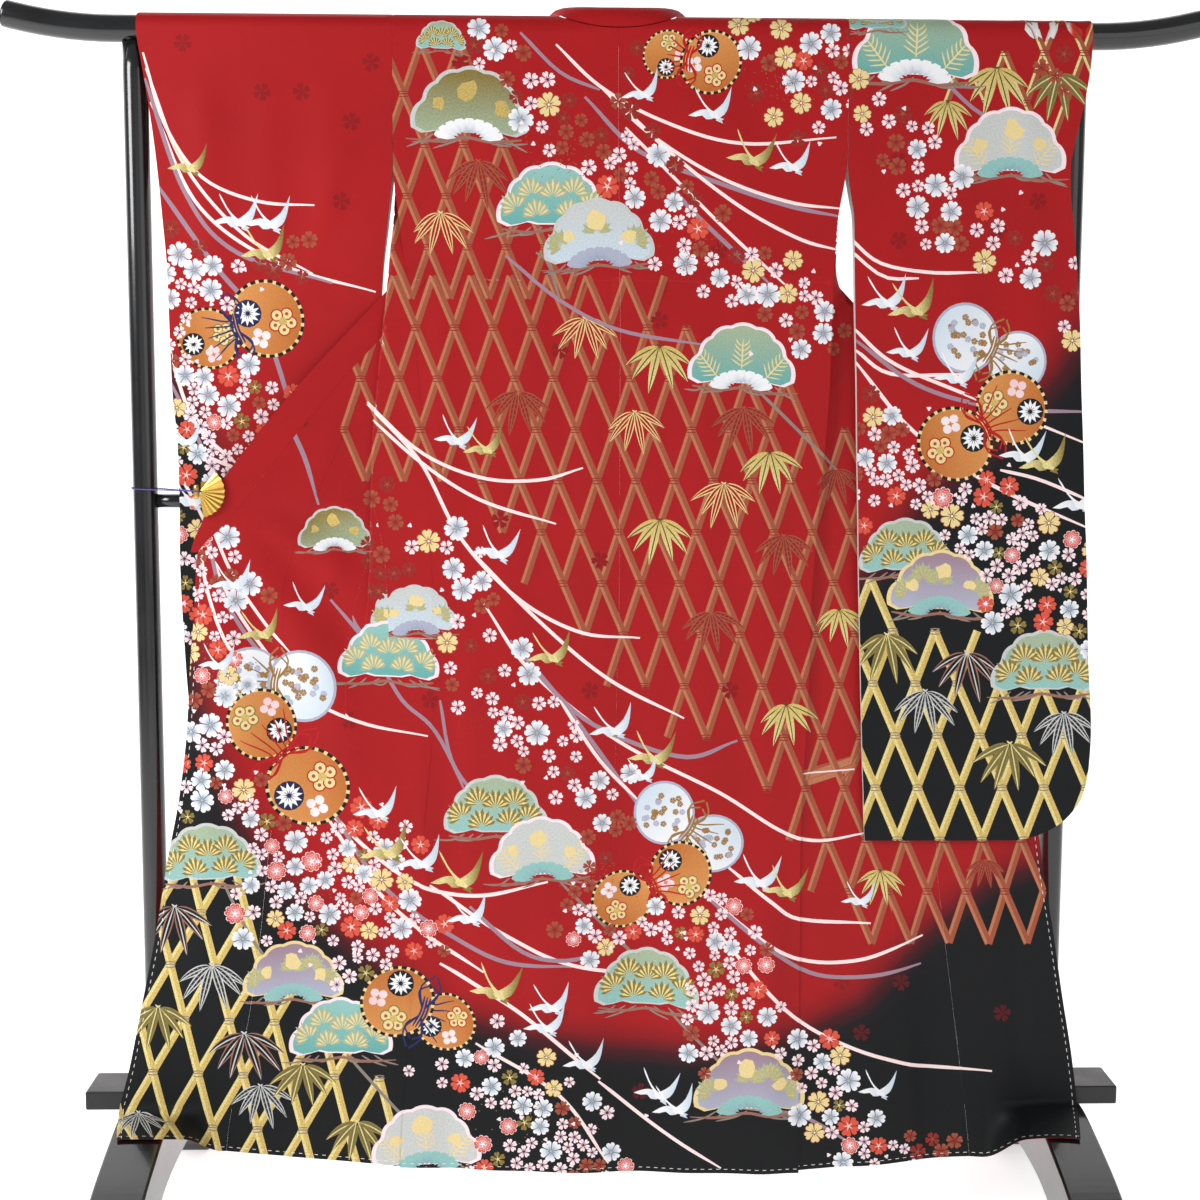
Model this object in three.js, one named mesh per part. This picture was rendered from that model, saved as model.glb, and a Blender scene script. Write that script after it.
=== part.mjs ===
// Furisode kimono hung by its shoulders on a lacquered kimono stand.
// Millimetres, +Z up, X to the right, the outside of the kimono's back faces -Y,
// the axis of the stand's top pole lies at Y = 0, floor at Z = 0.
import * as THREE from "three";

// ---- driving dimensions -------------------------------------------------
const wall = 1.6;            // lined cloth
const seamGap = 0.3;         // between pieces at a seam
const poleRadius = 19;
const poleZ = 1735;
const poleHalf = 845;        // top pole, half length
const poleRise = 20;         // upturn of the pole's tips
const uprightX = 663;
const uprightRadius = 17.5;
const railZ = 1074;
const railRadius = 10;
const beamHalf = 764;
const beamDepth = 80;
const beamTop = 207;
const beamHeight = 28;
const footX = 674;
const footWidth = 76;
const pleatGap = 5;          // between the layers of the drawn front's pleat
const neckHalf = 85;         // half the neck opening
const neckDrop = 30;         // neck seam below the shoulder line at centre back
const centreX = 14;          // centre back at the neck
const clothRadius = poleRadius + 1.2 + wall / 2;
const quarter = clothRadius * Math.PI / 2;

// ---- small tools ---------------------------------------------------------
const clamp = (v, a, b) => Math.min(b, Math.max(a, v));
const ease = (v) => {
  const c = clamp(v, 0, 1);
  return c * c * (3 - 2 * c);
};
const mix = (a, b, f) => a + (b - a) * f;

// A table has named columns; each column becomes a smooth, non-overshooting
// curve of the first column.
function table(names, rows) {
  const sorted = [...rows].sort((a, b) => a[0] - b[0]);
  const xs = sorted.map((r) => r[0]);
  const out = {};
  names.slice(1).forEach((name, k) => {
    const ys = sorted.map((r) => r[k + 1]);
    const n = xs.length;
    const slope = [];
    for (let i = 0; i < n - 1; i++) slope.push((ys[i + 1] - ys[i]) / (xs[i + 1] - xs[i]));
    const tangent = [slope[0]];
    for (let i = 1; i < n - 1; i++) {
      const a = slope[i - 1];
      const b = slope[i];
      tangent.push(a * b <= 0 ? 0 : 2 * a * b / (a + b));
    }
    tangent.push(slope[n - 2]);
    out[name] = (x) => {
      if (x <= xs[0]) return ys[0];
      if (x >= xs[n - 1]) return ys[n - 1];
      let i = 0;
      while (x > xs[i + 1]) i++;
      const h = xs[i + 1] - xs[i];
      const t = (x - xs[i]) / h;
      const t2 = t * t;
      const t3 = t2 * t;
      return (2 * t3 - 3 * t2 + 1) * ys[i] + (t3 - 2 * t2 + t) * h * tangent[i]
        + (-2 * t3 + 3 * t2) * ys[i + 1] + (t3 - t2) * h * tangent[i + 1];
    };
  });
  return out;
}

// ---- cloth tables --------------------------------------------------------
// Back: height, left side seam, centre seam, right side seam, depth.
const back = table(["z", "left", "centre", "right", "y"], [
  [1735, -302, 14, 338, -clothRadius],
  [1640, -302, 14, 338, -22.5],
  [1555, -302, 15, 337, -24],
  [1470, -294, 16, 325, -25.5],
  [1400, -284, 17, 321, -27],
  [1330, -274, 18, 319, -29],
  [1240, -266, 18, 317, -31.5],
  [1150, -259, 18, 311, -34],
  [1080, -254, 18, 305, -36],
  [1000, -251, 18, 299, -37.5],
  [930, -248, 18, 295, -38.5],
  [850, -249, 16, 294, -40],
  [740, -251, 14, 290, -42],
  [650, -258, 12, 286, -44],
  [550, -268, 10, 284, -45.5],
  [450, -275, 7, 285, -47],
  [350, -283, 1, 285, -48.5],
  [250, -291, -5, 286, -50],
  [150, -299, -10, 287, -51.5],
  [70, -303, -10, 288, -52.5],
]);
const backHem = { left: 94, centre: 84, right: 81 };

// Fronts: height, side seam depth, dive behind the sleeve, outer fold, inner fold,
// okumi seam, collar seam, free edge, depth of the free edge.
const frontNames = ["z", "sy", "dive", "fold1", "fold2", "okumi", "collar", "edge", "ey"];
const frontLeft = table(frontNames, [
  [1760, clothRadius, 0, -302, -71, -71, -71, -78, clothRadius],
  [1735, clothRadius, 0, -302, -71, -72, -72, -82, clothRadius],
  [1700, 20.4, 0, -302, -72, -76, -76, -101, 24],
  [1640, 18, 0, -302, -82, -97, -97, -137, 28],
  [1560, 13, 0, -302.2, -104, -138, -138, -189, 24],
  [1480, -8, 0, -304, -138, -190, -190, -240, 8],
  [1425, -22.5, 0, -309, -158, -209, -220, -274, -9],
  [1400, -24.8, 0, -311, -168, -225, -237, -291, -14],
  [1330, -26.8, 0, -319, -206, -273, -300, -355, -22],
  [1240, -29.3, 0, -329, -254, -342, -384, -439, -31],
  [1150, -31.8, 0, -337, -287, -384, -458, -513, -42],
  [1090, -33.6, 0, -339, -305, -412, -505, -555, -50],
  [1040, -34.6, 0, -340, -318, -434, -546, -578, -50],
  [1003, -35.2, 0, -341, -327, -448, -581, -592, -48],
  [930, -36.3, 0, -345, -340, -464, -588, -590, -46],
  [850, -37.8, 0, -349, -349, -463, -596, -598, -45],
  [740, -39.8, 0, -351, -351, -463, -604, -606, -45],
  [650, -41.8, 0, -358, -358, -477, -616, -618, -46],
  [550, -43.3, 0, -368, -368, -490, -636, -638, -48],
  [450, -44.8, 0, -375, -375, -501, -653, -655, -50],
  [350, -46.3, 0, -384, -384, -515, -674, -676, -52],
  [250, -47.8, 0, -395, -395, -535, -695, -697, -54],
  [150, -49.3, 0, -405, -405, -553, -720, -722, -56],
  [70, -50.3, 0, -409, -409, -561, -730, -732, -57],
]);
const frontRight = table(frontNames, [
  [1760, clothRadius, 0, 338, 99, 99, 99, 106, clothRadius],
  [1735, clothRadius, 0, 338, 99, 100, 100, 110, clothRadius],
  [1700, 20.4, 0, 338, 101, 104, 104, 129, 24],
  [1640, 17, 0, 338, 110, 125, 125, 165, 28],
  [1560, 8, 0, 337.3, 132, 166, 166, 217, 20],
  [1480, -8, 0, 328, 166, 216, 216, 266, 10],
  [1425, -22.5, 14, 326, 170, 240, 250, 304, 4],
  [1400, -24.8, 17, 328, 180, 252, 264, 319, 2],
  [1370, -25.6, 16, 340, 209, 273, 291, 346, 0],
  [1330, -26.8, 14, 376, 254, 301, 328, 383, -3],
  [1240, -29.3, 11.5, 395, 305, 363, 407, 462, -8],
  [1150, -31.8, 9.5, 405, 340, 405, 477, 532, -12.5],
  [1080, -33.8, 8, 410, 365, 440, 521, 572, -15.5],
  [1040, -34.6, 7.5, 410, 372, 450, 552, 588, -17],
  [1003, -35.2, 7, 410, 378, 458, 590, 600, -18],
  [930, -36.3, 6.5, 412, 386, 464, 600, 602, -20],
  [850, -37.8, 6, 412, 396, 470, 605, 607, -24],
  [740, -39.8, 5, 406, 401, 477, 615, 617, -29],
  [650, -41.8, 4, 392, 392, 481, 628, 630, -34],
  [550, -43.3, 2, 391, 391, 485, 641, 643, -40],
  [450, -44.8, 1, 397, 397, 497, 659, 661, -43],
  [350, -46.3, 0, 404, 404, 511, 676, 678, -45],
  [250, -47.8, 0, 412, 412, 525, 694, 696, -46.5],
  [150, -49.3, 0, 419, 419, 538, 707, 709, -47.5],
  [70, -50.3, 0, 423, 423, 546, 713, 715, -48],
]);
const frontHem = {
  left: { side: 94, okumi: 122, edge: 122 },
  right: { side: 84, okumi: 104, edge: 99 },
};

// Sleeves: height, inner edge, outer edge of the back layer, depth of the back
// layer, outer edge of the front layer with its depth, depth of the front layer.
const sleeveNames = ["z", "inner", "outer", "yb", "fouter", "yfo", "yf", "yo"];
const sleeveLeft = table(sleeveNames, [
  [1760, -302, -657, -clothRadius, -657, clothRadius, clothRadius, -clothRadius],
  [1735, -302, -657, -clothRadius, -657, clothRadius, clothRadius, -clothRadius],
  [1690, -302, -651, -21, -651, 20.8, 19.8, -21],
  [1640, -302, -643, -22, -640, 20, 18, -22],
  [1550, -302.5, -632, -22.5, -631, 8, 13, -22.5],
  [1470, -310, -626, -20, -626, -18, 6, -19],
  [1400, -318, -622, -14, -622, -14, -1, -15],
  [1330, -322, -621, -12.5, -621, -12, -5, -13.5],
  [1240, -324, -619, -13.5, -619, -13, -8, -13.2],
  [1150, -326, -613, -15.5, -613, -14.5, -11, -13],
  [1080, -327, -612, -17.5, -612, -16, -12.7, -13],
  [1000, -328, -613, -18.5, -613, -16.5, -13.3, -13.5],
  [850, -330, -608, -19, -608, -17, -13.5, -16],
  [740, -333, -600, -19.5, -600, -17.5, -14, -18],
  [690, -334, -592, -19.5, -592, -17.5, -14, -19],
  [650, -335, -576, -19.5, -576, -17.5, -14, -19],
  [620, -336, -552, -19.5, -552, -17.5, -14, -19],
  [602, -337, -522, -19.5, -522, -17.5, -14, -19],
  [594, -337, -492, -19.5, -492, -17.5, -14, -19],
]);
const sleeveRight = table(sleeveNames, [
  [1760, 338, 682, -clothRadius, 682, clothRadius, clothRadius, -clothRadius],
  [1735, 338, 682, -clothRadius, 682, clothRadius, clothRadius, -clothRadius],
  [1700, 338, 681, -21, 679, 20.6, 20, -21],
  [1655, 338, 675, -22, 667, 20.9, 17.5, -22],
  [1620, 338, 668, -23, 652, 20.9, 14, -23],
  [1590, 338, 661, -24, 640, 19.5, 11, -24],
  [1550, 338, 655, -25, 636, 8, 6, -25],
  [1510, 343, 656, -26, 638, -8, 0, -26],
  [1480, 348, 660, -27, 645, -20, -5, -27],
  [1450, 349, 663, -28, 660, -25.5, -9, -28],
  [1400, 350, 668, -30, 668, -28, -14, -30],
  [1330, 352, 673, -33, 673, -31, -19, -33],
  [1240, 355, 677, -36, 677, -34, -24, -36],
  [1150, 357, 682, -39, 682, -37, -28.5, -39],
  [1080, 359, 685, -42, 685, -40, -32, -42],
  [1000, 361, 690, -44, 690, -42, -34, -44],
  [850, 366, 697, -46, 697, -44, -38, -46],
  [740, 370, 704, -48, 704, -46, -41, -48],
  [690, 372, 702, -49, 702, -47, -42, -49],
  [650, 374, 694, -49.5, 694, -47.5, -43, -49.5],
  [615, 375, 670, -50, 670, -48, -44, -50],
  [595, 376, 640, -50, 640, -48, -44.5, -50],
  [584, 377, 606, -50, 606, -48, -44.5, -50],
]);

// Top of the arched feet: distance from the middle, height.
const footArch = [[0, 178.7], [50, 176], [100, 167], [160, 153], [215, 138], [262, 120], [300, 95], [328, 62],
  [345, 28], [350, 0]];
const footTop = table(["y", "z"], footArch).z;

// ---- cloth surfaces --------------------------------------------------------
// Soft hanging folds of the back, deeper towards the hem.
function backFold(x, z) {
  const low = ease((1450 - z) / 1300);
  const inside = 1 - ease((Math.abs(x - 8) - 215) / 60);
  return low * inside * (4.5 * Math.sin(x / 47 + 0.4) + 2.5 * Math.sin(x / 23 - z / 900));
}

// Folds running down from the clip over the drawn-out left front.
function clipFold(x, z) {
  const dx = x + 556;
  const dz = 1090 - z;
  const r = Math.hypot(dx, dz);
  const a = Math.atan2(dx, dz);
  const grow = ease((r - 40) / 260);
  const near = ease((x + 735) / 30) * ease((-330 - x) / 70);
  return dz > 0 ? -grow * near * 5 * Math.cos(a * 13 - 0.6) * (1 - 0.5 * ease((r - 700) / 300)) : 0;
}

// The lower front corners run forward over the arched feet.
function overFoot(side, p) {
  const [x, y, z] = p;
  const below = 188 - z;
  if (below <= 0) return p;
  const over = ease((Math.abs(x) - 562) / 70);
  const ahead = y - below * 0.98;
  const drift = (side < 0 ? 0.36 : 0.3) * below;
  const top = footTop(-ahead) + 4.2;
  return [x - side * drift * over, mix(y, ahead, over), mix(z, Math.max(top, z), over)];
}

// Broad waves of the right front below the sleeve.
function sideFold(x, z) {
  const low = ease((620 - z) / 350);
  const near = ease((x - 320) / 60) * ease((735 - x) / 40);
  return low * near * 4 * Math.cos((x - 300) / 30);
}

// Distance from the shoulder line to depth and height; way is -1 back, +1 front.
function drape(d, way) {
  if (d < quarter) {
    const a = d / clothRadius;
    return { y: way * clothRadius * Math.sin(a), z: poleZ + clothRadius * Math.cos(a), arc: true };
  }
  return { y: way * clothRadius, z: poleZ - (d - quarter), arc: false };
}
const dropOf = (z) => quarter + poleZ - z;

// One point of the back; u runs 0 at the side seam to 1 at the centre seam.
function backPoint(side, u, d) {
  const p = drape(d, -1);
  const z = p.z;
  const zt = Math.min(z, poleZ);
  const s = side < 0 ? back.left(zt) : back.right(zt);
  const x = mix(s, back.centre(zt) + side * seamGap / 2, u);
  const y = p.arc ? p.y : back.y(zt) + backFold(x, z);
  return [x, y, z];
}

// Distance below the shoulder line of the neck seam.
function neckSeam(x) {
  const f = clamp(Math.abs(x - centreX) / neckHalf, 0, 1);
  return neckDrop * Math.sqrt(1 - f * f);
}

// Lengths along one cross-section of a front: side seam, folds, seams, edge.
function frontLengths(side, z) {
  const t = side < 0 ? frontLeft : frontRight;
  const zt = Math.min(z, poleZ + 25);
  const s = (side < 0 ? back.left(Math.min(z, poleZ)) : back.right(Math.min(z, poleZ))) - side * 6 * ease((1430 - z) / 30);
  const xs = [s, t.fold1(zt), t.fold2(zt), t.okumi(zt), t.collar(zt), t.edge(zt)];
  const ls = [0];
  for (let i = 1; i < xs.length; i++) ls.push(ls[i - 1] + Math.abs(xs[i] - xs[i - 1]));
  return { t, xs, ls };
}

// One point of a front at length l from the side seam, at distance d below the shoulder.
function frontPoint(side, l, d) {
  const p = drape(d, 1);
  const z = p.z;
  const { t, xs, ls } = frontLengths(side, z);
  const at = (v) => {
    let i = 0;
    while (i < 4 && v > ls[i + 1]) i++;
    const h = ls[i + 1] - ls[i];
    return h < 1e-9 ? xs[i + 1] : xs[i] + (xs[i + 1] - xs[i]) * (v - ls[i]) / h;
  };
  const w = ls[2] - ls[1];
  const dying = clamp(w / 20, 0, 1);
  const l1 = ls[1];
  const l3 = ls[3] - ls[2];
  const soft = 3.5;
  let x = 0;
  for (let k = -2; k <= 2; k++) x += at(clamp(l + k * soft / 2, 0, ls[5])) / 5;
  if (l < soft) x = at(l);
  const gap1 = pleatGap * clamp(l1 / 15, 0, 1) * dying;
  const gap2 = pleatGap * clamp(l3 / 15, 0, 1) * dying;
  const start = t.sy(z) + t.dive(z) * ease(l / 22);
  const rise = gap1 * ease((l - ls[1] + soft) / (2 * soft)) + gap2 * ease((l - ls[2] + soft) / (2 * soft));
  const end = t.ey(z) - (t.sy(z) + t.dive(z) + gap1 + gap2);
  const free = ls[2] + w * ease((1430 - z) / 60);
  let y = start + rise + end * ease((l - free) / Math.max(30, ls[5] - free));
  y += side < 0 ? clipFold(x, z) : sideFold(x, z);
  if (p.arc) y = p.y;
  return overFoot(side, [x, y, z]);
}

// The same point with the surface's own normal, so that walls run on across a seam.
function seamPoint(side, l, d) {
  const p = frontPoint(side, l, d);
  const a = new THREE.Vector3(...frontPoint(side, l + 1.5, d)).sub(new THREE.Vector3(...frontPoint(side, l - 1.5, d)));
  const b = new THREE.Vector3(...frontPoint(side, l, d + 2)).sub(new THREE.Vector3(...frontPoint(side, l, d - 2)));
  p.normal = a.cross(b).normalize();
  return p;
}

// One point of a sleeve; s runs 0 at the inner edge to 1 at the outer edge.
function sleevePoint(side, s, d, way) {
  const t = side < 0 ? sleeveLeft : sleeveRight;
  const p = drape(d, way);
  const z = p.z;
  const inner = t.inner(z) + side * seamGap * (z > 1540 ? 1 : 0);
  const bottom = side < 0 ? 594 : 584;
  const yb = mix(t.yb(z), t.yo(z), ease((s - 0.7) / 0.3));
  if (way < 0) {
    return [mix(inner, t.outer(z), s), p.arc ? p.y : yb, z];
  }
  const x = mix(inner, t.fouter(z), s);
  const touch = yb + wall + seamGap;
  const outerY = z > 1475 ? t.yfo(z) : touch;
  let y = mix(t.yf(z), outerY, ease((s - 0.6) / 0.35));
  y = mix(touch, y, ease((z - bottom) / 45));
  if (p.arc) y = p.y;
  return [x, y, z];
}

// ---- solids from sheets ----------------------------------------------------
// A sheet of points and faces gets a wall: both faces offset along the normals,
// its border closed by a rim.
function thicken(points, faces, thickness = wall) {
  const n = points.length;
  const normals = points.map(() => new THREE.Vector3());
  const v = points.map((p) => new THREE.Vector3(...p));
  const tris = [];
  for (const f of faces) {
    if (f.length === 3) {
      tris.push(f);
    } else {
      const short = v[f[0]].distanceTo(v[f[2]]) <= v[f[1]].distanceTo(v[f[3]]);
      if (short) tris.push([f[0], f[1], f[2]], [f[0], f[2], f[3]]);
      else tris.push([f[0], f[1], f[3]], [f[1], f[2], f[3]]);
    }
  }
  const ab = new THREE.Vector3();
  const ac = new THREE.Vector3();
  for (const [a, b, c] of tris) {
    ab.subVectors(v[b], v[a]);
    ac.subVectors(v[c], v[a]);
    const m = new THREE.Vector3().crossVectors(ab, ac);
    if (m.length() > 0) m.multiplyScalar(1 / Math.sqrt(m.length()));
    for (const i of [a, b, c]) normals[i].add(m);
  }
  normals.forEach((m, i) => {
    m.normalize();
    if (!points[i].normal) return;
    const given = points[i].normal.clone();
    if (given.dot(m) < 0) given.negate();
    m.copy(given);
  });
  const out = [];
  for (const h of [thickness / 2, -thickness / 2]) {
    v.forEach((q, i) => out.push(q.x + normals[i].x * h, q.y + normals[i].y * h, q.z + normals[i].z * h));
  }
  const index = [];
  const count = new Map();
  for (const [a, b, c] of tris) {
    index.push(a, b, c, n + c, n + b, n + a);
    for (const [i, j] of [[a, b], [b, c], [c, a]]) count.set(i * n + j, [i, j]);
  }
  for (const [i, j] of count.values()) {
    if (count.has(j * n + i)) continue;
    index.push(j, i, n + i, j, n + i, n + j);
  }
  return closed(out, index);
}

// Closed mesh with its faces turned out.
function closed(positions, index) {
  let volume = 0;
  const P = (i) => new THREE.Vector3(positions[3 * i], positions[3 * i + 1], positions[3 * i + 2]);
  for (let i = 0; i < index.length; i += 3) {
    volume += P(index[i]).dot(new THREE.Vector3().crossVectors(P(index[i + 1]), P(index[i + 2])));
  }
  const turned = [];
  for (let i = 0; i < index.length; i += 3) {
    if (volume < 0) turned.push(index[i], index[i + 2], index[i + 1]);
    else turned.push(index[i], index[i + 1], index[i + 2]);
  }
  const g = new THREE.BufferGeometry();
  g.setAttribute("position", new THREE.Float32BufferAttribute(positions, 3));
  g.setIndex(turned);
  g.computeVertexNormals();
  return g;
}

// Triangles between two rows that lie along the same line.
function zip(a, b, fa, fb, faces) {
  let i = 0;
  let j = 0;
  while (i < a.length - 1 || j < b.length - 1) {
    const stepA = j >= b.length - 1 || (i < a.length - 1 && fa[i + 1] <= fb[j + 1]);
    if (stepA) {
      faces.push([a[i], a[i + 1], b[j]]);
      i++;
    } else {
      faces.push([a[i], b[j + 1], b[j]]);
      j++;
    }
  }
}

function gridFaces(rows, faces) {
  for (let r = 0; r < rows.length - 1; r++) {
    for (let c = 0; c < rows[r].length - 1; c++) {
      faces.push([rows[r][c], rows[r][c + 1], rows[r + 1][c + 1], rows[r + 1][c]]);
    }
  }
}

// Heights of the rows below the pole, from the pole to just above the hem.
const rowHeights = [1700, 1640, 1590, 1550, 1510, 1475, 1445, 1425, 1400, 1365, 1330, 1285, 1240, 1195, 1150, 1115,
  1080, 1040, 1004, 965, 930, 850, 740, 650, 550, 450, 350, 260, 190, 158];

// ---- body: back and front in one piece over the shoulder --------------------
function bodyPiece(side) {
  const points = [];
  const add = (p) => points.push(p) - 1;
  const faces = [];
  const neckU = 1 - neckHalf / Math.abs((side < 0 ? -302 : 338) - centreX);
  const outerU = [0, 0.12, 0.3, 0.52, neckU];
  const neckU2 = [11, 31, 59, 85].map((x) => neckU + (1 - neckU) * x / neckHalf);
  const allU = [...outerU, ...neckU2];
  const shoulder = [0, 11, 22, 33, 60];
  const hemOf = side < 0 ? backHem.left : backHem.right;
  const rows = [];
  for (let j = 0; j < shoulder.length; j++) {
    rows.push(allU.map((u, k) => {
      const x = backPoint(side, u, 10)[0];
      const dn = k < outerU.length ? 0 : neckSeam(x);
      return j === 0 && k < outerU.length - 1 ? -1
        : add(backPoint(side, u, dn + (60 - dn) * shoulder[j] / 60));
    }));
  }
  for (const z of rowHeights.slice(1)) rows.push(allU.map((u) => add(backPoint(side, u, dropOf(z)))));
  rows.push(allU.map((u) => add(backPoint(side, u, dropOf(mix(hemOf, backHem.centre, u))))));
  const nk = outerU.length - 1;
  gridFaces([rows[0].slice(nk), rows[1].slice(nk)], faces);
  gridFaces(rows.slice(1), faces);

  // columns of the front: lengths along the cross-section around the two folds
  const columns = (z) => {
    const { ls } = frontLengths(side, z);
    const w = ls[2] - ls[1];
    const lack = Math.max(0, 34 - w) / 2;
    let a = ls[1] - lack;
    let b = ls[2] + lack;
    const end = ls[3] - seamGap / 2;
    const b0 = clamp(b, 0, end - 3 * 3);
    const soft = 3.5;
    const few = 3;
    a = Math.max(a, few + soft);
    b = Math.max(b0, a + 2 * soft + 2 * few);
    if (b + soft > end - few) b = end - few - soft;
    if (a > b - 2 * soft - few) a = b - 2 * soft - few;
    return [0, (a - soft) * 0.5, a - soft, a, a + soft, mix(a, b, 0.36), mix(a, b, 0.68), b - soft, b, b + soft,
      mix(b + soft, end, 0.5), end];
  };
  const edgeHem = frontHem[side < 0 ? "left" : "right"];
  const frontRows = [];
  for (const d of [0, 11, 22, 33]) {
    const z = drape(d, 1).z;
    frontRows.push(columns(z).map((l) => add(frontPoint(side, l, d))));
  }
  const lastOf = (l, k, list, d) => (k === list.length - 1 && d > 60 ? seamPoint : frontPoint)(side, l, d);
  for (const z of rowHeights) {
    frontRows.push(columns(z).map((l, k, list) => add(lastOf(l, k, list, dropOf(z)))));
  }
  const low = columns(110);
  frontRows.push(low.map((l, k) => {
    const z = mix(edgeHem.side, edgeHem.okumi, l / low[low.length - 1]);
    return add(lastOf(columns(z)[k], k, low, dropOf(z)));
  }));
  // the shoulder line: fine row of the front, coarse row of the back
  const shoulderRow = frontRows[0];
  const fineF = shoulderRow.map((i) => Math.abs(points[i][0] - points[shoulderRow[0]][0]));
  const coarse = rows[1].slice(0, nk + 1);
  const coarseF = coarse.map((i) => Math.abs(points[i][0] - points[coarse[0]][0]));
  // the neck corner of the back is the last point of the front's first row
  const corner = rows[0][nk];
  const last = shoulderRow[shoulderRow.length - 1];
  for (const f of faces) for (let k = 0; k < f.length; k++) if (f[k] === corner) f[k] = last;
  zip(shoulderRow, coarse, fineF, coarseF, faces);
  const downFaces = [];
  gridFaces(frontRows, downFaces);
  for (const f of downFaces) faces.push([...f].reverse());
  return thickenUsed(points, faces);
}

// Drops points no face uses before the wall is built.
function thickenUsed(points, faces, thickness = wall) {
  const map = new Map();
  const kept = [];
  const renamed = faces.map((f) => f.map((i) => {
    if (!map.has(i)) {
      map.set(i, kept.length);
      kept.push(points[i]);
    }
    return map.get(i);
  }));
  return thicken(kept, renamed, thickness);
}

// ---- okumi: the overlap panel from its point down to the hem -----------------
function okumiPiece(side) {
  const points = [];
  const rows = [];
  const hem = frontHem[side < 0 ? "left" : "right"];
  const heights = [...rowHeights.filter((z) => z < 1480), 0];
  for (const z of heights) {
    const row = [];
    for (let c = 0; c <= 3; c++) {
      const f = c / 3;
      const zz = z > 0 ? z : mix(hem.okumi, hem.edge, f);
      const { ls } = frontLengths(side, zz);
      const a = ls[3] + seamGap / 2;
      const b = ls[4] - (zz > 1003.5 ? seamGap / 2 : 0);
      row.push(points.push((c % 3 ? frontPoint : seamPoint)(side, mix(a, b, f), dropOf(zz))) - 1);
    }
    rows.push(row);
  }
  const faces = [];
  gridFaces(rows, faces);
  return thicken(points, faces);
}

// ---- sleeve: one cloth folded over the pole ----------------------------------
function sleevePiece(side) {
  const points = [];
  const rows = [];
  const bottom = side < 0 ? 594 : 584;
  const heights = [1700, 1640, 1590, 1550, 1510, 1475, 1445, 1400, 1330, 1240, 1150, 1080, 1000, 920, 830, 740, 690,
    650, 618, 598, bottom];
  const cols = [0, 0.2, 0.4, 0.6, 0.75, 0.86, 0.94, 1];
  const layer = (way) => {
    const list = [];
    for (const d of [11, 22, 33]) list.push(cols.map((s) => sleevePoint(side, s, d, way)));
    for (const z of heights) list.push(cols.map((s) => sleevePoint(side, s, dropOf(z), way)));
    return list;
  };
  const all = [...layer(-1).reverse(), cols.map((s) => sleevePoint(side, s, 0, 1)), ...layer(1)];
  for (const list of all) rows.push(list.map((p) => points.push(p) - 1));
  const faces = [];
  gridFaces(rows, faces);
  return thicken(points, faces);
}

// ---- collar ------------------------------------------------------------------
// Stations of the neck: seam place across, control point and free edge.
const neckStations = [
  { x: 14, mid: [14, -19, 1777], free: [14, 10, 1766] },
  { x: -12, mid: [-12, -18, 1776], free: [-14, 12, 1767] },
  { x: -40, mid: [-41, -10, 1776], free: [-44, 20, 1769] },
  { x: -60, mid: [-63, 6, 1775], free: [-68, 34, 1770] },
  { x: -71, mid: [-77, 25, 1771], free: [-86, 50, 1762] },
];
const arcSteps = [11, 22, 33];
const collarHeights = [1700, ...rowHeights.filter((z) => z < 1690 && z >= 1004)];

function collarStation(side, k) {
  // returns three control points; k counts from centre back down the front
  if (k < neckStations.length) {
    const n = neckStations[k];
    const flip = (x) => (side < 0 ? x : 2 * centreX - x);
    const d = Math.max(0, neckSeam(n.x) - seamGap);
    const a = d / clothRadius;
    const y = -clothRadius * Math.sin(a);
    const z = poleZ + clothRadius * Math.cos(a) + (d === 0 ? 0.3 : 0);
    const lift = k === neckStations.length - 1 ? 1.9 : 0.4;
    return [[flip(n.x + (k ? lift : 0)), y + 0.2, z + 0.9], [flip(n.mid[0]), n.mid[1], n.mid[2]],
      [flip(n.free[0]), n.free[1], n.free[2]]];
  }
  const j = k - neckStations.length;
  const d = j < arcSteps.length ? arcSteps[j] : dropOf(collarHeights[j - arcSteps.length]);
  const z = drape(d, 1).z;
  const { ls } = frontLengths(side, z);
  const open = ease((z - 1560) / 140);
  const a = (z < 1530 ? seamPoint : frontPoint)(side, ls[4] + seamGap / 2 + 1.6 * ease((z - 1530) / 60), d);
  const b = frontPoint(side, ls[5], d);
  a[1] += 1.3 * ease((z - 1600) / 90);
  const full = Math.max(8, Math.min(57, ls[5] - ls[4] + 60 * open));
  const m = [mix(a[0], b[0], 0.5), mix(a[1], b[1], 0.5) + 22 * open, z + 3 * open];
  const c = [b[0] + side * 2 * open, b[1] + open * (full - 24) * 1.15, z + 4 * open];
  if (j >= arcSteps.length) return [a, m, c];
  // between the neck's last station and the front the band turns over the shoulder
  const top = collarStation(side, neckStations.length - 1);
  const f = (j + 1) / arcSteps.length;
  const blend = (p, q) => p.map((v, i) => mix(v, q[i], f));
  const out = 0.8 * Math.sin(d / clothRadius);
  const neck = (side < 0 ? frontLeft : frontRight).collar(z) - side * 1.3;
  return [[neck, a[1] + out, a[2] + 0.8 * Math.cos(d / clothRadius)], blend(top[1], m), blend(top[2], c)];
}
const collarCount = neckStations.length + arcSteps.length + collarHeights.length;

function bandPoint(controls, v) {
  const [a, b, c] = controls;
  if (v === 0) return a;
  const w = [(1 - v) * (1 - v), 2 * v * (1 - v), v * v];
  return [0, 1, 2].map((i) => w[0] * a[i] + w[1] * b[i] + w[2] * c[i]);
}

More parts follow.
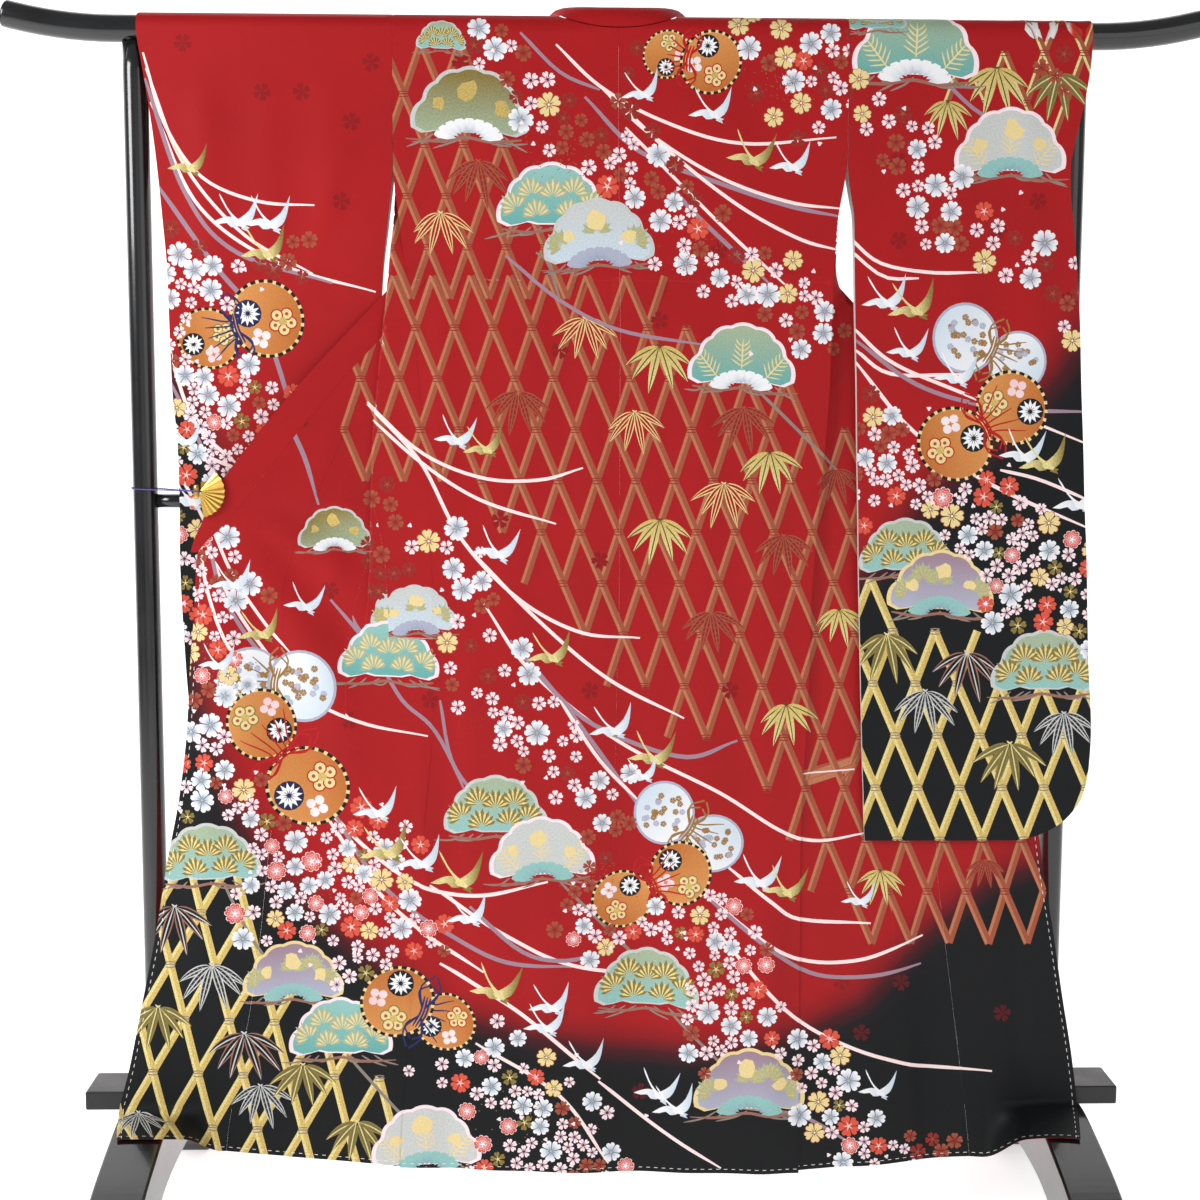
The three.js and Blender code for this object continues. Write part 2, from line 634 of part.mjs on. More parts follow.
function bandRows(first, last, vs, lift) {
  const line = [];
  for (let k = last; k >= 1; k--) line.push(collarStation(-1, k));
  line.push(collarStation(-1, 0));
  for (let k = 1; k <= last; k++) line.push(collarStation(1, k));
  const rows = line.map((c) => vs.map((v) => bandPoint(c, v)));
  if (!lift) return rows;
  // move out along the surface normal, away from the collar's own wall
  return rows.map((row, r) => row.map((p, c) => {
    const up = new THREE.Vector3(...rows[Math.min(r + 1, rows.length - 1)][c])
      .sub(new THREE.Vector3(...rows[Math.max(r - 1, 0)][c]));
    const across = new THREE.Vector3(...row[Math.min(c + 1, row.length - 1)])
      .sub(new THREE.Vector3(...row[Math.max(c - 1, 0)]));
    const m = new THREE.Vector3().crossVectors(up, across).normalize().multiplyScalar(lift);
    return [p[0] + m.x, p[1] + m.y, p[2] + m.z];
  }));
}

function bandPiece(last, vs, lift, thickness) {
  const points = [];
  const faces = [];
  const rows = bandRows(0, last, vs, lift).map((row) => row.map((p) => points.push(p) - 1));
  gridFaces(rows, faces);
  return thicken(points, faces, thickness);
}

// ---- stand -------------------------------------------------------------------
// Tube along a path of stations with radii; ends closed by a ring to a point.
function tube(stations, sides, radii, loop = false) {
  const positions = [];
  const index = [];
  const n = stations.length;
  const v = stations.map((p) => new THREE.Vector3(...p));
  const ref = new THREE.Vector3(0, 0, 1);
  for (let i = 0; i < n; i++) {
    const a = v[loop ? (i + n - 1) % n : Math.max(0, i - 1)];
    const b = v[loop ? (i + 1) % n : Math.min(n - 1, i + 1)];
    const dir = new THREE.Vector3().subVectors(b, a).normalize();
    const up = Math.abs(dir.z) > 0.9 ? new THREE.Vector3(0, 1, 0) : ref;
    const e1 = new THREE.Vector3().crossVectors(up, dir).normalize();
    const e2 = new THREE.Vector3().crossVectors(dir, e1);
    for (let k = 0; k < sides; k++) {
      const t = 2 * Math.PI * k / sides;
      const q = v[i].clone().addScaledVector(e1, radii[i] * Math.cos(t)).addScaledVector(e2, radii[i] * Math.sin(t));
      positions.push(q.x, q.y, q.z);
    }
  }
  const spans = loop ? n : n - 1;
  for (let i = 0; i < spans; i++) {
    const j = (i + 1) % n;
    for (let k = 0; k < sides; k++) {
      const m = (k + 1) % sides;
      index.push(i * sides + k, i * sides + m, j * sides + m, i * sides + k, j * sides + m, j * sides + k);
    }
  }
  if (!loop) {
    for (const [i, flip] of [[0, true], [n - 1, false]]) {
      const c = positions.length / 3;
      positions.push(v[i].x, v[i].y, v[i].z);
      for (let k = 0; k < sides; k++) {
        const m = (k + 1) % sides;
        if (flip) index.push(c, i * sides + m, i * sides + k);
        else index.push(c, i * sides + k, i * sides + m);
      }
    }
  }
  return closed(positions, index);
}

// Extrusion along X of a closed outline in Y and Z, its long edges broken by a bevel.
function boardX(outline, x0, x1, bevel) {
  const shape = new THREE.Shape(outline.map(([y, z]) => new THREE.Vector2(y, z)));
  const g = new THREE.ExtrudeGeometry(shape, {
    depth: Math.abs(x1 - x0) - 2 * bevel,
    bevelEnabled: bevel > 0,
    bevelThickness: bevel,
    bevelSize: bevel,
    bevelOffset: -bevel,
    bevelSegments: 1,
    curveSegments: 4,
  });
  const pos = g.attributes.position;
  const keys = new Map();
  const positions = [];
  const index = [];
  for (let i = 0; i < pos.count; i++) {
    const p = [Math.min(x0, x1) + bevel + pos.getZ(i), pos.getX(i), pos.getY(i)];
    const key = p.map((q) => Math.round(q * 1000)).join(",");
    if (!keys.has(key)) {
      keys.set(key, positions.length / 3);
      positions.push(...p);
    }
    index.push(keys.get(key));
  }
  const clean = [];
  for (let i = 0; i < index.length; i += 3) {
    const [a, b, c] = index.slice(i, i + 3);
    if (a !== b && b !== c && c !== a) clean.push(a, b, c);
  }
  return closed(positions, clean);
}

function polePiece() {
  const stations = [];
  const radii = [];
  const xs = [-poleHalf, -poleHalf + 3, -820, -780, -740, -690, -400, 0, 400, 690, 740, 780, 820, poleHalf - 3, poleHalf];
  xs.forEach((x, i) => {
    const r = Math.max(0, Math.abs(x) - 690) / (poleHalf - 690);
    stations.push([x, 0, poleZ + poleRise * r * r]);
    radii.push(i === 0 || i === xs.length - 1 ? poleRadius - 3 : poleRadius);
  });
  return tube(stations, 24, radii);
}

function uprightPiece(side) {
  const z0 = beamTop + seamGap;
  const z1 = poleZ - poleRadius - seamGap;
  return tube([[side * uprightX, 0, z0], [side * uprightX, 0, (z0 + z1) / 2], [side * uprightX, 0, z1]], 24,
    [uprightRadius, uprightRadius, uprightRadius]);
}

function railPiece() {
  const end = uprightX - uprightRadius - seamGap;
  return tube([[-end, 0, railZ], [0, 0, railZ], [end, 0, railZ]], 16, [railRadius, railRadius, railRadius]);
}

function beamPiece() {
  const h = beamDepth / 2;
  const b = beamTop - beamHeight;
  const r = 5;
  const outline = [[-h + r, b], [h - r, b], [h, b + r], [h, beamTop - r], [h - r, beamTop], [-h + r, beamTop],
    [-h, beamTop - r], [-h, b + r]];
  return boardX(outline, -beamHalf, beamHalf, 3);
}

// Profile of an arched foot: depth, top of the board, underside.
function footPiece(side) {
  const topHalf = footArch;
  const lowHalf = [[236, 0], [222, 24], [195, 48], [155, 68], [105, 82], [55, 88], [0, 90]];
  const outline = [...topHalf, ...lowHalf];
  const other = [...lowHalf.slice(0, -1).reverse(), ...topHalf.slice(1).reverse()].map(([y, z]) => [-y, z]);
  const x = side * footX;
  return boardX([...outline, ...other], x - footWidth / 2, x + footWidth / 2, 0);
}

// ---- clip and thread ------------------------------------------------------------
const clipAt = { x: -576, y: -54.2, z: 1090 };
const hingeX = -4;
function clipPiece() {
  // pleated fan: ribs alternate in depth; both faces and the rim closed
  const ribs = 20;
  const from = 0.88;
  const to = -1.42;
  const positions = [];
  const index = [];
  const ring = [3.6, 35];
  for (let i = 0; i <= ribs; i++) {
    const a = mix(from, to, i / ribs);
    for (const r of ring) {
      const wave = (i % 2 ? -1 : 1) * 0.9 * r / ring[1];
      for (const h of [-1.1, 1.1]) {
        const scallop = r === ring[1] && i % 2 ? 1.6 : 0;
        positions.push(clipAt.x + (r + scallop) * Math.cos(a), clipAt.y + wave + h, clipAt.z + (r + scallop) * Math.sin(a));
      }
    }
  }
  // corner order per station: inner front, inner back, outer front, outer back
  const q = (a, b, c, d) => index.push(a, b, c, a, c, d);
  for (let i = 0; i < ribs; i++) {
    const o = 4 * i;
    const p = o + 4;
    q(o, p, p + 2, o + 2);
    q(o + 1, o + 3, p + 3, p + 1);
    q(o + 2, p + 2, p + 3, o + 3);
    q(o, o + 1, p + 1, p);
  }
  q(0, 2, 3, 1);
  const e = 4 * ribs;
  q(e, e + 1, e + 3, e + 2);
  return closed(positions, index);
}
function clipBead() {
  // upright barrel of the hinge, beside the fan's pivot: height, radius
  const p = clipAt;
  const rings = [[-10, 1.5], [-9, 3.4], [-6, 4.2], [0, 4.2], [6, 4.2], [9, 3.4], [10, 1.5]];
  return tube(rings.map(([z]) => [p.x + hingeX, p.y, p.z + z]), 12, rings.map(([, r]) => r));
}
function clipJaw() {
  // spring jaw behind the cloth's edge
  const x0 = clipAt.x + 1;
  const x1 = clipAt.x + 34;
  const y0 = clipAt.y + 7.2;
  const outline = [[y0, clipAt.z - 14], [y0 + 1.6, clipAt.z - 14], [y0 + 1.6, clipAt.z + 14], [y0, clipAt.z + 14]];
  return boardX(outline, x0, x1, 0.4);
}
function threadPiece() {
  const c = [-uprightX, 0];
  const r = uprightRadius + 1.7;
  const b = [clipAt.x + hingeX, clipAt.y];
  const dx = b[0] - c[0];
  const dy = b[1] - c[1];
  const dist = Math.hypot(dx, dy);
  const base = Math.atan2(dy, dx);
  const open = Math.acos((r - 6) / dist);
  const path = [];
  const turns = 14;
  for (let i = 0; i <= turns; i++) {
    const a = base + open + (2 * Math.PI - 2 * open) * i / turns;
    path.push([c[0] + r * Math.cos(a), c[1] + r * Math.sin(a), clipAt.z + 1.5 + 1.5 * Math.sin(i / turns * Math.PI)]);
  }
  const rb = 5.8;
  for (let i = 0; i <= 6; i++) {
    const a = base - open + (2 * open) * i / 6;
    path.push([b[0] + rb * Math.cos(a), b[1] + rb * Math.sin(a), clipAt.z + 1.5 - 1.2 * i / 6]);
  }
  return tube(path, 8, path.map(() => 1.15), true);
}

// ---- assembly ---------------------------------------------------------------------
const group = new THREE.Group();
const paint = {
  cloth: { color: 0xb01822, roughness: 0.7, metalness: 0 },
  lacquer: { color: 0x151515, roughness: 0.25, metalness: 0 },
  gold: { color: 0xc9a14a, roughness: 0.3, metalness: 1 },
  thread: { color: 0x3a2a80, roughness: 0.8, metalness: 0 },
};
const materials = Object.fromEntries(Object.entries(paint).map(([k, p]) => {
  const m = new THREE.MeshStandardMaterial(p);
  m.name = k;
  return [k, m];
}));
function put(name, geometry, material) {
  const mesh = new THREE.Mesh(geometry, materials[material]);
  mesh.name = name;
  group.add(mesh);
}
put("body_left", bodyPiece(-1), "cloth");
put("body_right", bodyPiece(1), "cloth");
put("okumi_left", okumiPiece(-1), "cloth");
put("okumi_right", okumiPiece(1), "cloth");
put("sleeve_left", sleevePiece(-1), "cloth");
put("sleeve_right", sleevePiece(1), "cloth");
put("collar", bandPiece(collarCount - 1, [0, 0.33, 0.66, 1], 0, wall), "cloth");
put("pole", polePiece(), "lacquer");
put("upright_left", uprightPiece(-1), "lacquer");
put("upright_right", uprightPiece(1), "lacquer");
put("rail", railPiece(), "lacquer");
put("beam", beamPiece(), "lacquer");
put("foot_left", footPiece(-1), "lacquer");
put("foot_right", footPiece(1), "lacquer");
put("clip_fan", clipPiece(), "gold");
put("clip_bead", clipBead(), "gold");
put("clip_jaw", clipJaw(), "gold");
put("clip_thread", threadPiece(), "thread");

export default group;
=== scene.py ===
# Furisode kimono hung by its shoulders on a black lacquered kimono stand.
# Lengths are worked out in millimetres and go into the meshes in metres.
import math
import bpy
import numpy as np
from mathutils import Matrix, Vector
from mathutils.geometry import delaunay_2d_cdt


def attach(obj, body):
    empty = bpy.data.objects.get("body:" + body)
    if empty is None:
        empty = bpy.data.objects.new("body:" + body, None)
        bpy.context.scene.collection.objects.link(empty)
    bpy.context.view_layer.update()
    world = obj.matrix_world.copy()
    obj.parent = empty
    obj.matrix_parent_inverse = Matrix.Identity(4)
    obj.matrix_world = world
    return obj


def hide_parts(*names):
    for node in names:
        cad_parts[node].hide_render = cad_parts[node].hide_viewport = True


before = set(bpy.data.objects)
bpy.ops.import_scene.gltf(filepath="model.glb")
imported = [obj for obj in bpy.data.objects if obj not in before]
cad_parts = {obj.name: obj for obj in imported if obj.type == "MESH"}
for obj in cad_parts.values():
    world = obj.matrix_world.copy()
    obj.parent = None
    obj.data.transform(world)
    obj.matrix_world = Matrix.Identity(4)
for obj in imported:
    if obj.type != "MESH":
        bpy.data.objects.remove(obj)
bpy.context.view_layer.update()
scene = bpy.context.scene

# camera, with a 1200 x 1200 frame; places on the cloth are given in its units
view = {"place": (-78.39, -2699.09, 1238.39), "down": 0.113446, "turn": 0.0258595, "roll": -0.0036373,
        "focal": 1865.34, "frame": 1200, "clothDepth": -40.0, "unit": 1.43}
sinTurn, cosTurn = math.sin(view["turn"]), math.cos(view["turn"])
sinDown, cosDown = math.sin(view["down"]), math.cos(view["down"])
sinRoll, cosRoll = math.sin(view["roll"]), math.cos(view["roll"])
viewAhead = np.array([sinTurn * cosDown, cosTurn * cosDown, -sinDown])
viewRight = np.array([cosTurn, -sinTurn, 0.0])
viewUp = np.cross(viewRight, viewAhead)
cameraData = bpy.data.cameras.new("camera")
cameraData.sensor_fit = "HORIZONTAL"
cameraData.sensor_width = 36
cameraData.lens = view["focal"] / view["frame"] * 36
cameraData.clip_end = 50
camera = bpy.data.objects.new("camera", cameraData)
scene.collection.objects.link(camera)
axes = [viewRight * cosRoll - viewUp * sinRoll, viewRight * sinRoll + viewUp * cosRoll, -viewAhead,
        np.array(view["place"]) / 1000]
camera.matrix_world = Matrix([[axes[c][r] for c in range(4)] for r in range(3)] + [[0, 0, 0, 1]])
scene.camera = camera


def spot(points, depth=view["clothDepth"]):
    # from the frame's units to X and height: the ray through the point meets the plane Y = depth
    p = np.atleast_2d(np.asarray(points, float))
    a, b = p[:, 0] - view["frame"] / 2, view["frame"] / 2 - p[:, 1]
    across, high = a * cosRoll + b * sinRoll, b * cosRoll - a * sinRoll
    ray = viewAhead + (viewRight * across[:, None] + viewUp * high[:, None]) / view["focal"]
    far = (depth - view["place"][1]) / ray[:, 1]
    return np.stack([view["place"][0] + far * ray[:, 0], view["place"][2] + far * ray[:, 2]], 1)


# small tools
def ease(v):
    c = np.clip(v, 0, 1)
    return c * c * (3 - 2 * c)


def mix(a, b, f):
    return a + (b - a) * f


def curves(names, rows):
    # each named column becomes a smooth curve of the first one that never overshoots:
    # cubic pieces whose slopes are the harmonic mean of the neighbouring chords
    data = np.array(sorted(rows), float)
    xs = data[:, 0]
    gaps = np.diff(xs)
    made = {}
    for k, name in enumerate(names[1:]):
        ys = data[:, k + 1]
        chord = np.diff(ys) / gaps
        p, q = chord[:-1], chord[1:]
        inner = np.where(p * q <= 0, 0, 2 * p * q / np.where(p + q == 0, 1, p + q))
        tangent = np.concatenate([[chord[0]], inner, [chord[-1]]])

        def curve(x, ys=ys, tangent=tangent):
            x = np.clip(x, xs[0], xs[-1])
            i = np.clip(np.searchsorted(xs, x, side="right") - 1, 0, len(xs) - 2)
            h = gaps[i]
            t = (x - xs[i]) / h
            t2, t3 = t * t, t * t * t
            return ((2 * t3 - 3 * t2 + 1) * ys[i] + (t3 - 2 * t2 + t) * h * tangent[i]
                    + (3 * t2 - 2 * t3) * ys[i + 1] + (t3 - t2) * h * tangent[i + 1])
        made[name] = curve
    return made


# what carries the cloth
stand = {"poleRadius": 19, "poleZ": 1735, "poleHalf": 845, "poleRise": 20, "uprightX": 663,
         "uprightRadius": 17.5,
         "railZ": 1074, "railRadius": 10, "beamHalf": 764, "beamDepth": 80, "beamTop": 207, "beamHeight": 28,
         "footX": 674, "footWidth": 76, "gap": 0.3}
cloth = {"wall": 1.6, "seamGap": 0.1, "pleatGap": 5, "neckHalf": 85, "neckDrop": 30, "centreX": 14,
         "edge": 0.16,
         "step": 12.5, "clipX": -556, "clipZ": 1090, "armholeZ": 1540}
poleZ = stand["poleZ"]
bend = stand["poleRadius"] + 1.2 + cloth["wall"] / 2      # radius of the cloth's middle over the pole
quarter = bend * math.pi / 2
shoulder = poleZ + quarter                                # unrolled height of the shoulder line

# back: height, left side seam, centre seam, right side seam, depth
back = curves(["z", "left", "centre", "right", "y"], [
    (1735, -302, 14, 338, -bend), (1640, -302, 14, 338, -22.5), (1555, -302, 15, 337, -24),
    (1470, -294, 16, 325, -25.5), (1400, -284, 17, 321, -27), (1330, -274, 18, 319, -29),
    (1240, -266, 18, 317, -31.5), (1150, -259, 18, 311, -34), (1080, -254, 18, 305, -36),
    (1000, -251, 18, 299, -37.5), (930, -248, 18, 295, -38.5), (850, -249, 16, 294, -40),
    (740, -251, 14, 290, -42), (650, -258, 12, 286, -44), (550, -268, 10, 284, -45.5),
    (450, -275, 7, 285, -47), (350, -283, 1, 285, -48.5), (250, -291, -5, 286, -50),
    (150, -299, -10, 287, -51.5), (70, -303, -10, 288, -52.5)])
backHem = {-1: 94, 0: 84, 1: 81}

# fronts: height, depth at the side seam, dive behind the sleeve, outer fold, inner fold,
# okumi seam, collar seam, free edge, depth of the free edge
frontNames = ["z", "sy", "dive", "fold1", "fold2", "okumi", "collar", "edge", "ey"]
front = {-1: curves(frontNames, [
    (1760, bend, 0, -302, -71, -71, -71, -78, bend), (1735, bend, 0, -302, -71, -72, -72, -82, bend),
    (1700, 20.4, 0, -302, -72, -76, -76, -101, 24), (1640, 18, 0, -302, -82, -97, -97, -137, 28),
    (1560, 13, 0, -302.2, -104, -138, -138, -189, 24), (1480, -8, 0, -304, -138, -190, -190, -240, 8),
    (1425, -22.5, 0, -309, -158, -209, -220, -274, -9), (1400, -24.8, 0, -311, -168, -225, -237, -291, -14),
    (1330, -26.8, 0, -319, -206, -273, -300, -355, -22), (1240, -29.3, 0, -329, -254, -342, -384, -439, -31),
    (1150, -31.8, 0, -337, -287, -384, -458, -513, -42), (1090, -33.6, 0, -339, -305, -412, -505, -555, -50),
    (1040, -34.6, 0, -340, -318, -434, -546, -578, -50), (1003, -35.2, 0, -341, -327, -448, -581, -592, -48),
    (930, -36.3, 0, -345, -340, -464, -588, -590, -46), (850, -37.8, 0, -349, -349, -463, -596, -598, -45),
    (740, -39.8, 0, -351, -351, -463, -604, -606, -45), (650, -41.8, 0, -358, -358, -477, -616, -618, -46),
    (550, -43.3, 0, -368, -368, -490, -636, -638, -48), (450, -44.8, 0, -375, -375, -501, -653, -655, -50),
    (350, -46.3, 0, -384, -384, -515, -674, -676, -52), (250, -47.8, 0, -395, -395, -535, -695, -697, -54),
    (150, -49.3, 0, -405, -405, -553, -720, -722, -56), (70, -50.3, 0, -409, -409, -561, -730, -732, -57)]),
    1: curves(frontNames, [
    (1760, bend, 0, 338, 99, 99, 99, 106, bend), (1735, bend, 0, 338, 99, 100, 100, 110, bend),
    (1700, 20.4, 0, 338, 101, 104, 104, 129, 24), (1640, 17, 0, 338, 110, 125, 125, 165, 28),
    (1560, 8, 0, 337.3, 132, 166, 166, 217, 20), (1480, -8, 0, 328, 166, 216, 216, 266, 10),
    (1425, -22.5, 14, 326, 170, 240, 250, 304, 4), (1400, -24.8, 17, 328, 180, 252, 264, 319, 2),
    (1370, -25.6, 16, 340, 209, 273, 291, 346, 0), (1330, -26.8, 14, 376, 254, 301, 328, 383, -3),
    (1240, -29.3, 11.5, 395, 305, 363, 407, 462, -8), (1150, -31.8, 9.5, 405, 340, 405, 477, 532, -12.5),
    (1080, -33.8, 8, 410, 365, 440, 521, 572, -15.5), (1040, -34.6, 7.5, 410, 372, 450, 552, 588, -17),
    (1003, -35.2, 7, 410, 378, 458, 590, 600, -18), (930, -36.3, 6.5, 412, 386, 464, 600, 602, -20),
    (850, -37.8, 6, 412, 396, 470, 605, 607, -24), (740, -39.8, 5, 406, 401, 477, 615, 617, -29),
    (650, -41.8, 4, 392, 392, 481, 628, 630, -34), (550, -43.3, 2, 391, 391, 485, 641, 643, -40),
    (450, -44.8, 1, 397, 397, 497, 659, 661, -43), (350, -46.3, 0, 404, 404, 511, 676, 678, -45),
    (250, -47.8, 0, 412, 412, 525, 694, 696, -46.5), (150, -49.3, 0, 419, 419, 538, 707, 709, -47.5),
    (70, -50.3, 0, 423, 423, 546, 713, 715, -48)])}
frontHem = {-1: {"side": 94, "okumi": 122, "edge": 122}, 1: {"side": 84, "okumi": 104, "edge": 99}}

# sleeves: height, inner edge, outer edge and depth of the back layer, outer edge of the front
# layer with its depth, depth of the front layer, depth of the back layer's outer edge
sleeveNames = ["z", "inner", "outer", "yb", "fouter", "yfo", "yf", "yo"]
sleeve = {-1: curves(sleeveNames, [
    (1760, -302, -657, -bend, -657, bend, bend, -bend), (1735, -302, -657, -bend, -657, bend, bend, -bend),
    (1690, -302, -651, -21, -651, 20.8, 19.8, -21), (1640, -302, -643, -22, -640, 20, 18, -22),
    (1550, -302.5, -632, -22.5, -631, 8, 13, -22.5), (1470, -310, -626, -20, -626, -18, 6, -19),
    (1400, -318, -622, -14, -622, -14, -1, -15), (1330, -322, -621, -12.5, -621, -12, -5, -13.5),
    (1240, -324, -619, -13.5, -619, -13, -8, -13.2), (1150, -326, -613, -15.5, -613, -14.5, -11, -13),
    (1080, -327, -612, -17.5, -612, -16, -12.7, -13), (1000, -328, -613, -18.5, -613, -16.5, -13.3, -13.5),
    (850, -330, -608, -19, -608, -17, -13.5, -16), (740, -333, -600, -19.5, -600, -17.5, -14, -18),
    (690, -334, -592, -19.5, -592, -17.5, -14, -19), (650, -335, -576, -19.5, -576, -17.5, -14, -19),
    (620, -336, -552, -19.5, -552, -17.5, -14, -19), (602, -337, -522, -19.5, -522, -17.5, -14, -19),
    (594, -337, -492, -19.5, -492, -17.5, -14, -19)]),
    1: curves(sleeveNames, [
    (1760, 338, 682, -bend, 682, bend, bend, -bend), (1735, 338, 682, -bend, 682, bend, bend, -bend),
    (1700, 338, 681, -21, 679, 20.6, 20, -21), (1655, 338, 675, -22, 667, 20.9, 17.5, -22),
    (1620, 338, 668, -23, 652, 20.9, 14, -23), (1590, 338, 661, -24, 640, 19.5, 11, -24),
    (1550, 338, 655, -25, 636, 8, 6, -25), (1510, 343, 656, -26, 638, -8, 0, -26),
    (1480, 348, 660, -27, 645, -20, -5, -27), (1450, 349, 663, -28, 660, -25.5, -9, -28),
    (1400, 350, 668, -30, 668, -28, -14, -30), (1330, 352, 673, -33, 673, -31, -19, -33),
    (1240, 355, 677, -36, 677, -34, -24, -36), (1150, 357, 682, -39, 682, -37, -28.5, -39),
    (1080, 359, 685, -42, 685, -40, -32, -42), (1000, 361, 690, -44, 690, -42, -34, -44),
    (850, 366, 697, -46, 697, -44, -38, -46), (740, 370, 704, -48, 704, -46, -41, -48),
    (690, 372, 702, -49, 702, -47, -42, -49), (650, 374, 694, -49.5, 694, -47.5, -43, -49.5),
    (615, 375, 670, -50, 670, -48, -44, -50), (595, 376, 640, -50, 640, -48, -44.5, -50),
    (584, 377, 606, -50, 606, -48, -44.5, -50)])}
sleeveBottom = {-1: 594, 1: 584}
footArch = [(0, 178.7), (50, 176), (100, 167), (160, 153), (215, 138), (262, 120), (300, 95), (328, 62),
            (345, 28),
            (350, 0)]
footTop = curves(["y", "z"], footArch)["z"]

# soft creases, listed in the frame's units: from, to, half width, height towards the viewer
creases = [
    (442, 300, 450, 560, 15, 2.0), (470, 620, 462, 930, 20, 3.0), (520, 500, 512, 820, 18, 1.8),
    (548, 860, 540, 1150, 22, 4.0), (590, 320, 586, 560, 14, 1.3), (650, 560, 655, 900, 20, 2.4),
    (700, 300, 708, 620, 16, 1.8), (690, 900, 700, 1160, 24, 4.2), (762, 420, 770, 800, 17, 2.4),
    (770, 900, 776, 1165, 16, 3.2), (470, 980, 462, 1160, 17, 3.4), (420, 740, 428, 905, 10, 1.8),
    (560, 70, 470, 170, 20, 1.6), (668, 60, 748, 170, 22, 1.6), (500, 30, 494, 210, 15, 1.2),
    (735, 30, 742, 200, 15, 1.2),
    (200, 60, 206, 300, 16, 1.8), (262, 40, 268, 260, 18, 1.6), (330, 50, 322, 230, 16, 1.4),
    (352, 120, 300, 300, 12, 1.2),
    (905, 60, 900, 330, 16, 2.0), (960, 90, 968, 480, 18, 2.2), (1030, 60, 1040, 380, 17, 2.4),
    (985, 500, 990, 800, 18, 2.4),
    (915, 520, 910, 800, 15, 2.0), (1050, 520, 1056, 760, 14, 2.0), (900, 880, 912, 1150, 16, 3.2),
    (1000, 900, 1016, 1140, 18, 3.6),
    (330, 760, 322, 1000, 16, 2.6), (360, 930, 352, 1150, 15, 3.2), (210, 800, 196, 1000, 16, 2.6),
    (170, 900, 150, 1090, 14, 2.8),
    (285, 1010, 276, 1140, 12, 2.6), (240, 560, 262, 700, 12, 1.6), (340, 420, 300, 520, 14, 1.6),
    (350, 470, 322, 640, 12, 1.4)]
creaseLines = [(spot([(x0, y0), (x1, y1)]), w * view["unit"], h) for x0, y0, x1, y1, w, h in creases]


def ripple(x, z):
    # sum of ridges: height times a bell across the line, fading to both ends,
    # over slow waves; always towards the viewer, so that stacked layers move together
    lift = np.zeros(np.broadcast(x, z).shape)
    for ends, w, h in creaseLines:
        a, b = ends
        run = b - a
        t = ((x - a[0]) * run[0] + (z - a[1]) * run[1]) / (run @ run)
        off = (x - a[0] - t * run[0]) ** 2 + (z - a[1] - t * run[1]) ** 2
        lift += h * np.exp(-off / w ** 2) * ease(t / 0.3 + 0.3) * ease((1 - t) / 0.3 + 0.3)
    lift += 0.7 * (1 + np.sin(x / 31 + 1.3 * np.sin(z / 210)) * np.sin(z / 170 + x / 400))
    fromClip = np.hypot(x - cloth["clipX"], z - cloth["clipZ"])
    calm = ease((1700 - z) / 90) * ease((fromClip - 40) / 130) * np.where(np.abs(x) > 470,
        ease((z - 190) / 90), 1)
    return -lift * calm


def tuck(z):
    # the waist tuck: cloth lies double for a finger's width above its stitched line
    line = tuckLine
    return -1.5 * ease((z - line + 0.5) / 1.0) * (1 - ease((z - line - 9) / 14))


tuckLine = float(spot([(616, 281)])[0, 1])


def backFold(x, z):
    # two waves of different length that deepen towards the hem and stop before the side seams
    low = ease((1450 - z) / 1300)
    inside = 1 - ease((np.abs(x - 8) - 215) / 60)
    return low * inside * (4.5 * np.sin(x / 47 + 0.4) + 2.5 * np.sin(x / 23 - z / 900))


def clipFold(x, z):
    # folds fanning out below the clip: a cosine of the angle at the clip, grown with distance
    dx, dz = x - cloth["clipX"], cloth["clipZ"] - z
    r = np.hypot(dx, dz)
    a = np.arctan2(dx, dz)
    near = ease((x + 735) / 30) * ease((-330 - x) / 70)
    return np.where(dz > 0,
        -ease((r - 40) / 260) * near * 5 * np.cos(a * 13 - 0.6) * (1 - 0.5 * ease((r - 700) / 300)), 0)


def sideFold(x, z):
    # broad waves of the right front below the sleeve
    return ease((620 - z) / 350) * ease((x - 320) / 60) * ease((735 - x) / 40) * 4 * np.cos((x - 300) / 30)


def overFoot(side, x, y, z):
    # the lower front corners run forward over the arched feet
    below = np.maximum(188 - z, 0)
    over = ease((np.abs(x) - 562) / 70) * (below > 0)
    ahead = y - below * 0.98
    top = footTop(-ahead) + 4.2
    return np.stack([x - side * (0.36 if side < 0 else 0.3) * below * over, mix(y, ahead, over),
                     mix(z, np.maximum(top, z), over)], 1)


def drape(d, way):
    # quarter circle over the pole, then straight down; way is -1 for the back, 1 for the front
    a = d / bend
    arc = d < quarter
    return np.where(arc, way * bend * np.sin(a), way * bend), np.where(arc, poleZ + bend * np.cos(a),
        poleZ - (d - quarter)), arc


def backPoint(x, v):
    # x stays, height v is unrolled over the pole
    y, z, arc = drape(np.maximum(shoulder - v, 0), -1)
    zt = np.minimum(z, poleZ)
    flat = back["y"](zt) + backFold(x, z) + ripple(x, z) + tuck(z)
    return np.stack([x, np.where(arc, y, flat), z], 1)


def neckSeam(x):
    f = np.clip(np.abs(x - cloth["centreX"]) / cloth["neckHalf"], 0, 1)
    return cloth["neckDrop"] * np.sqrt(1 - f * f)


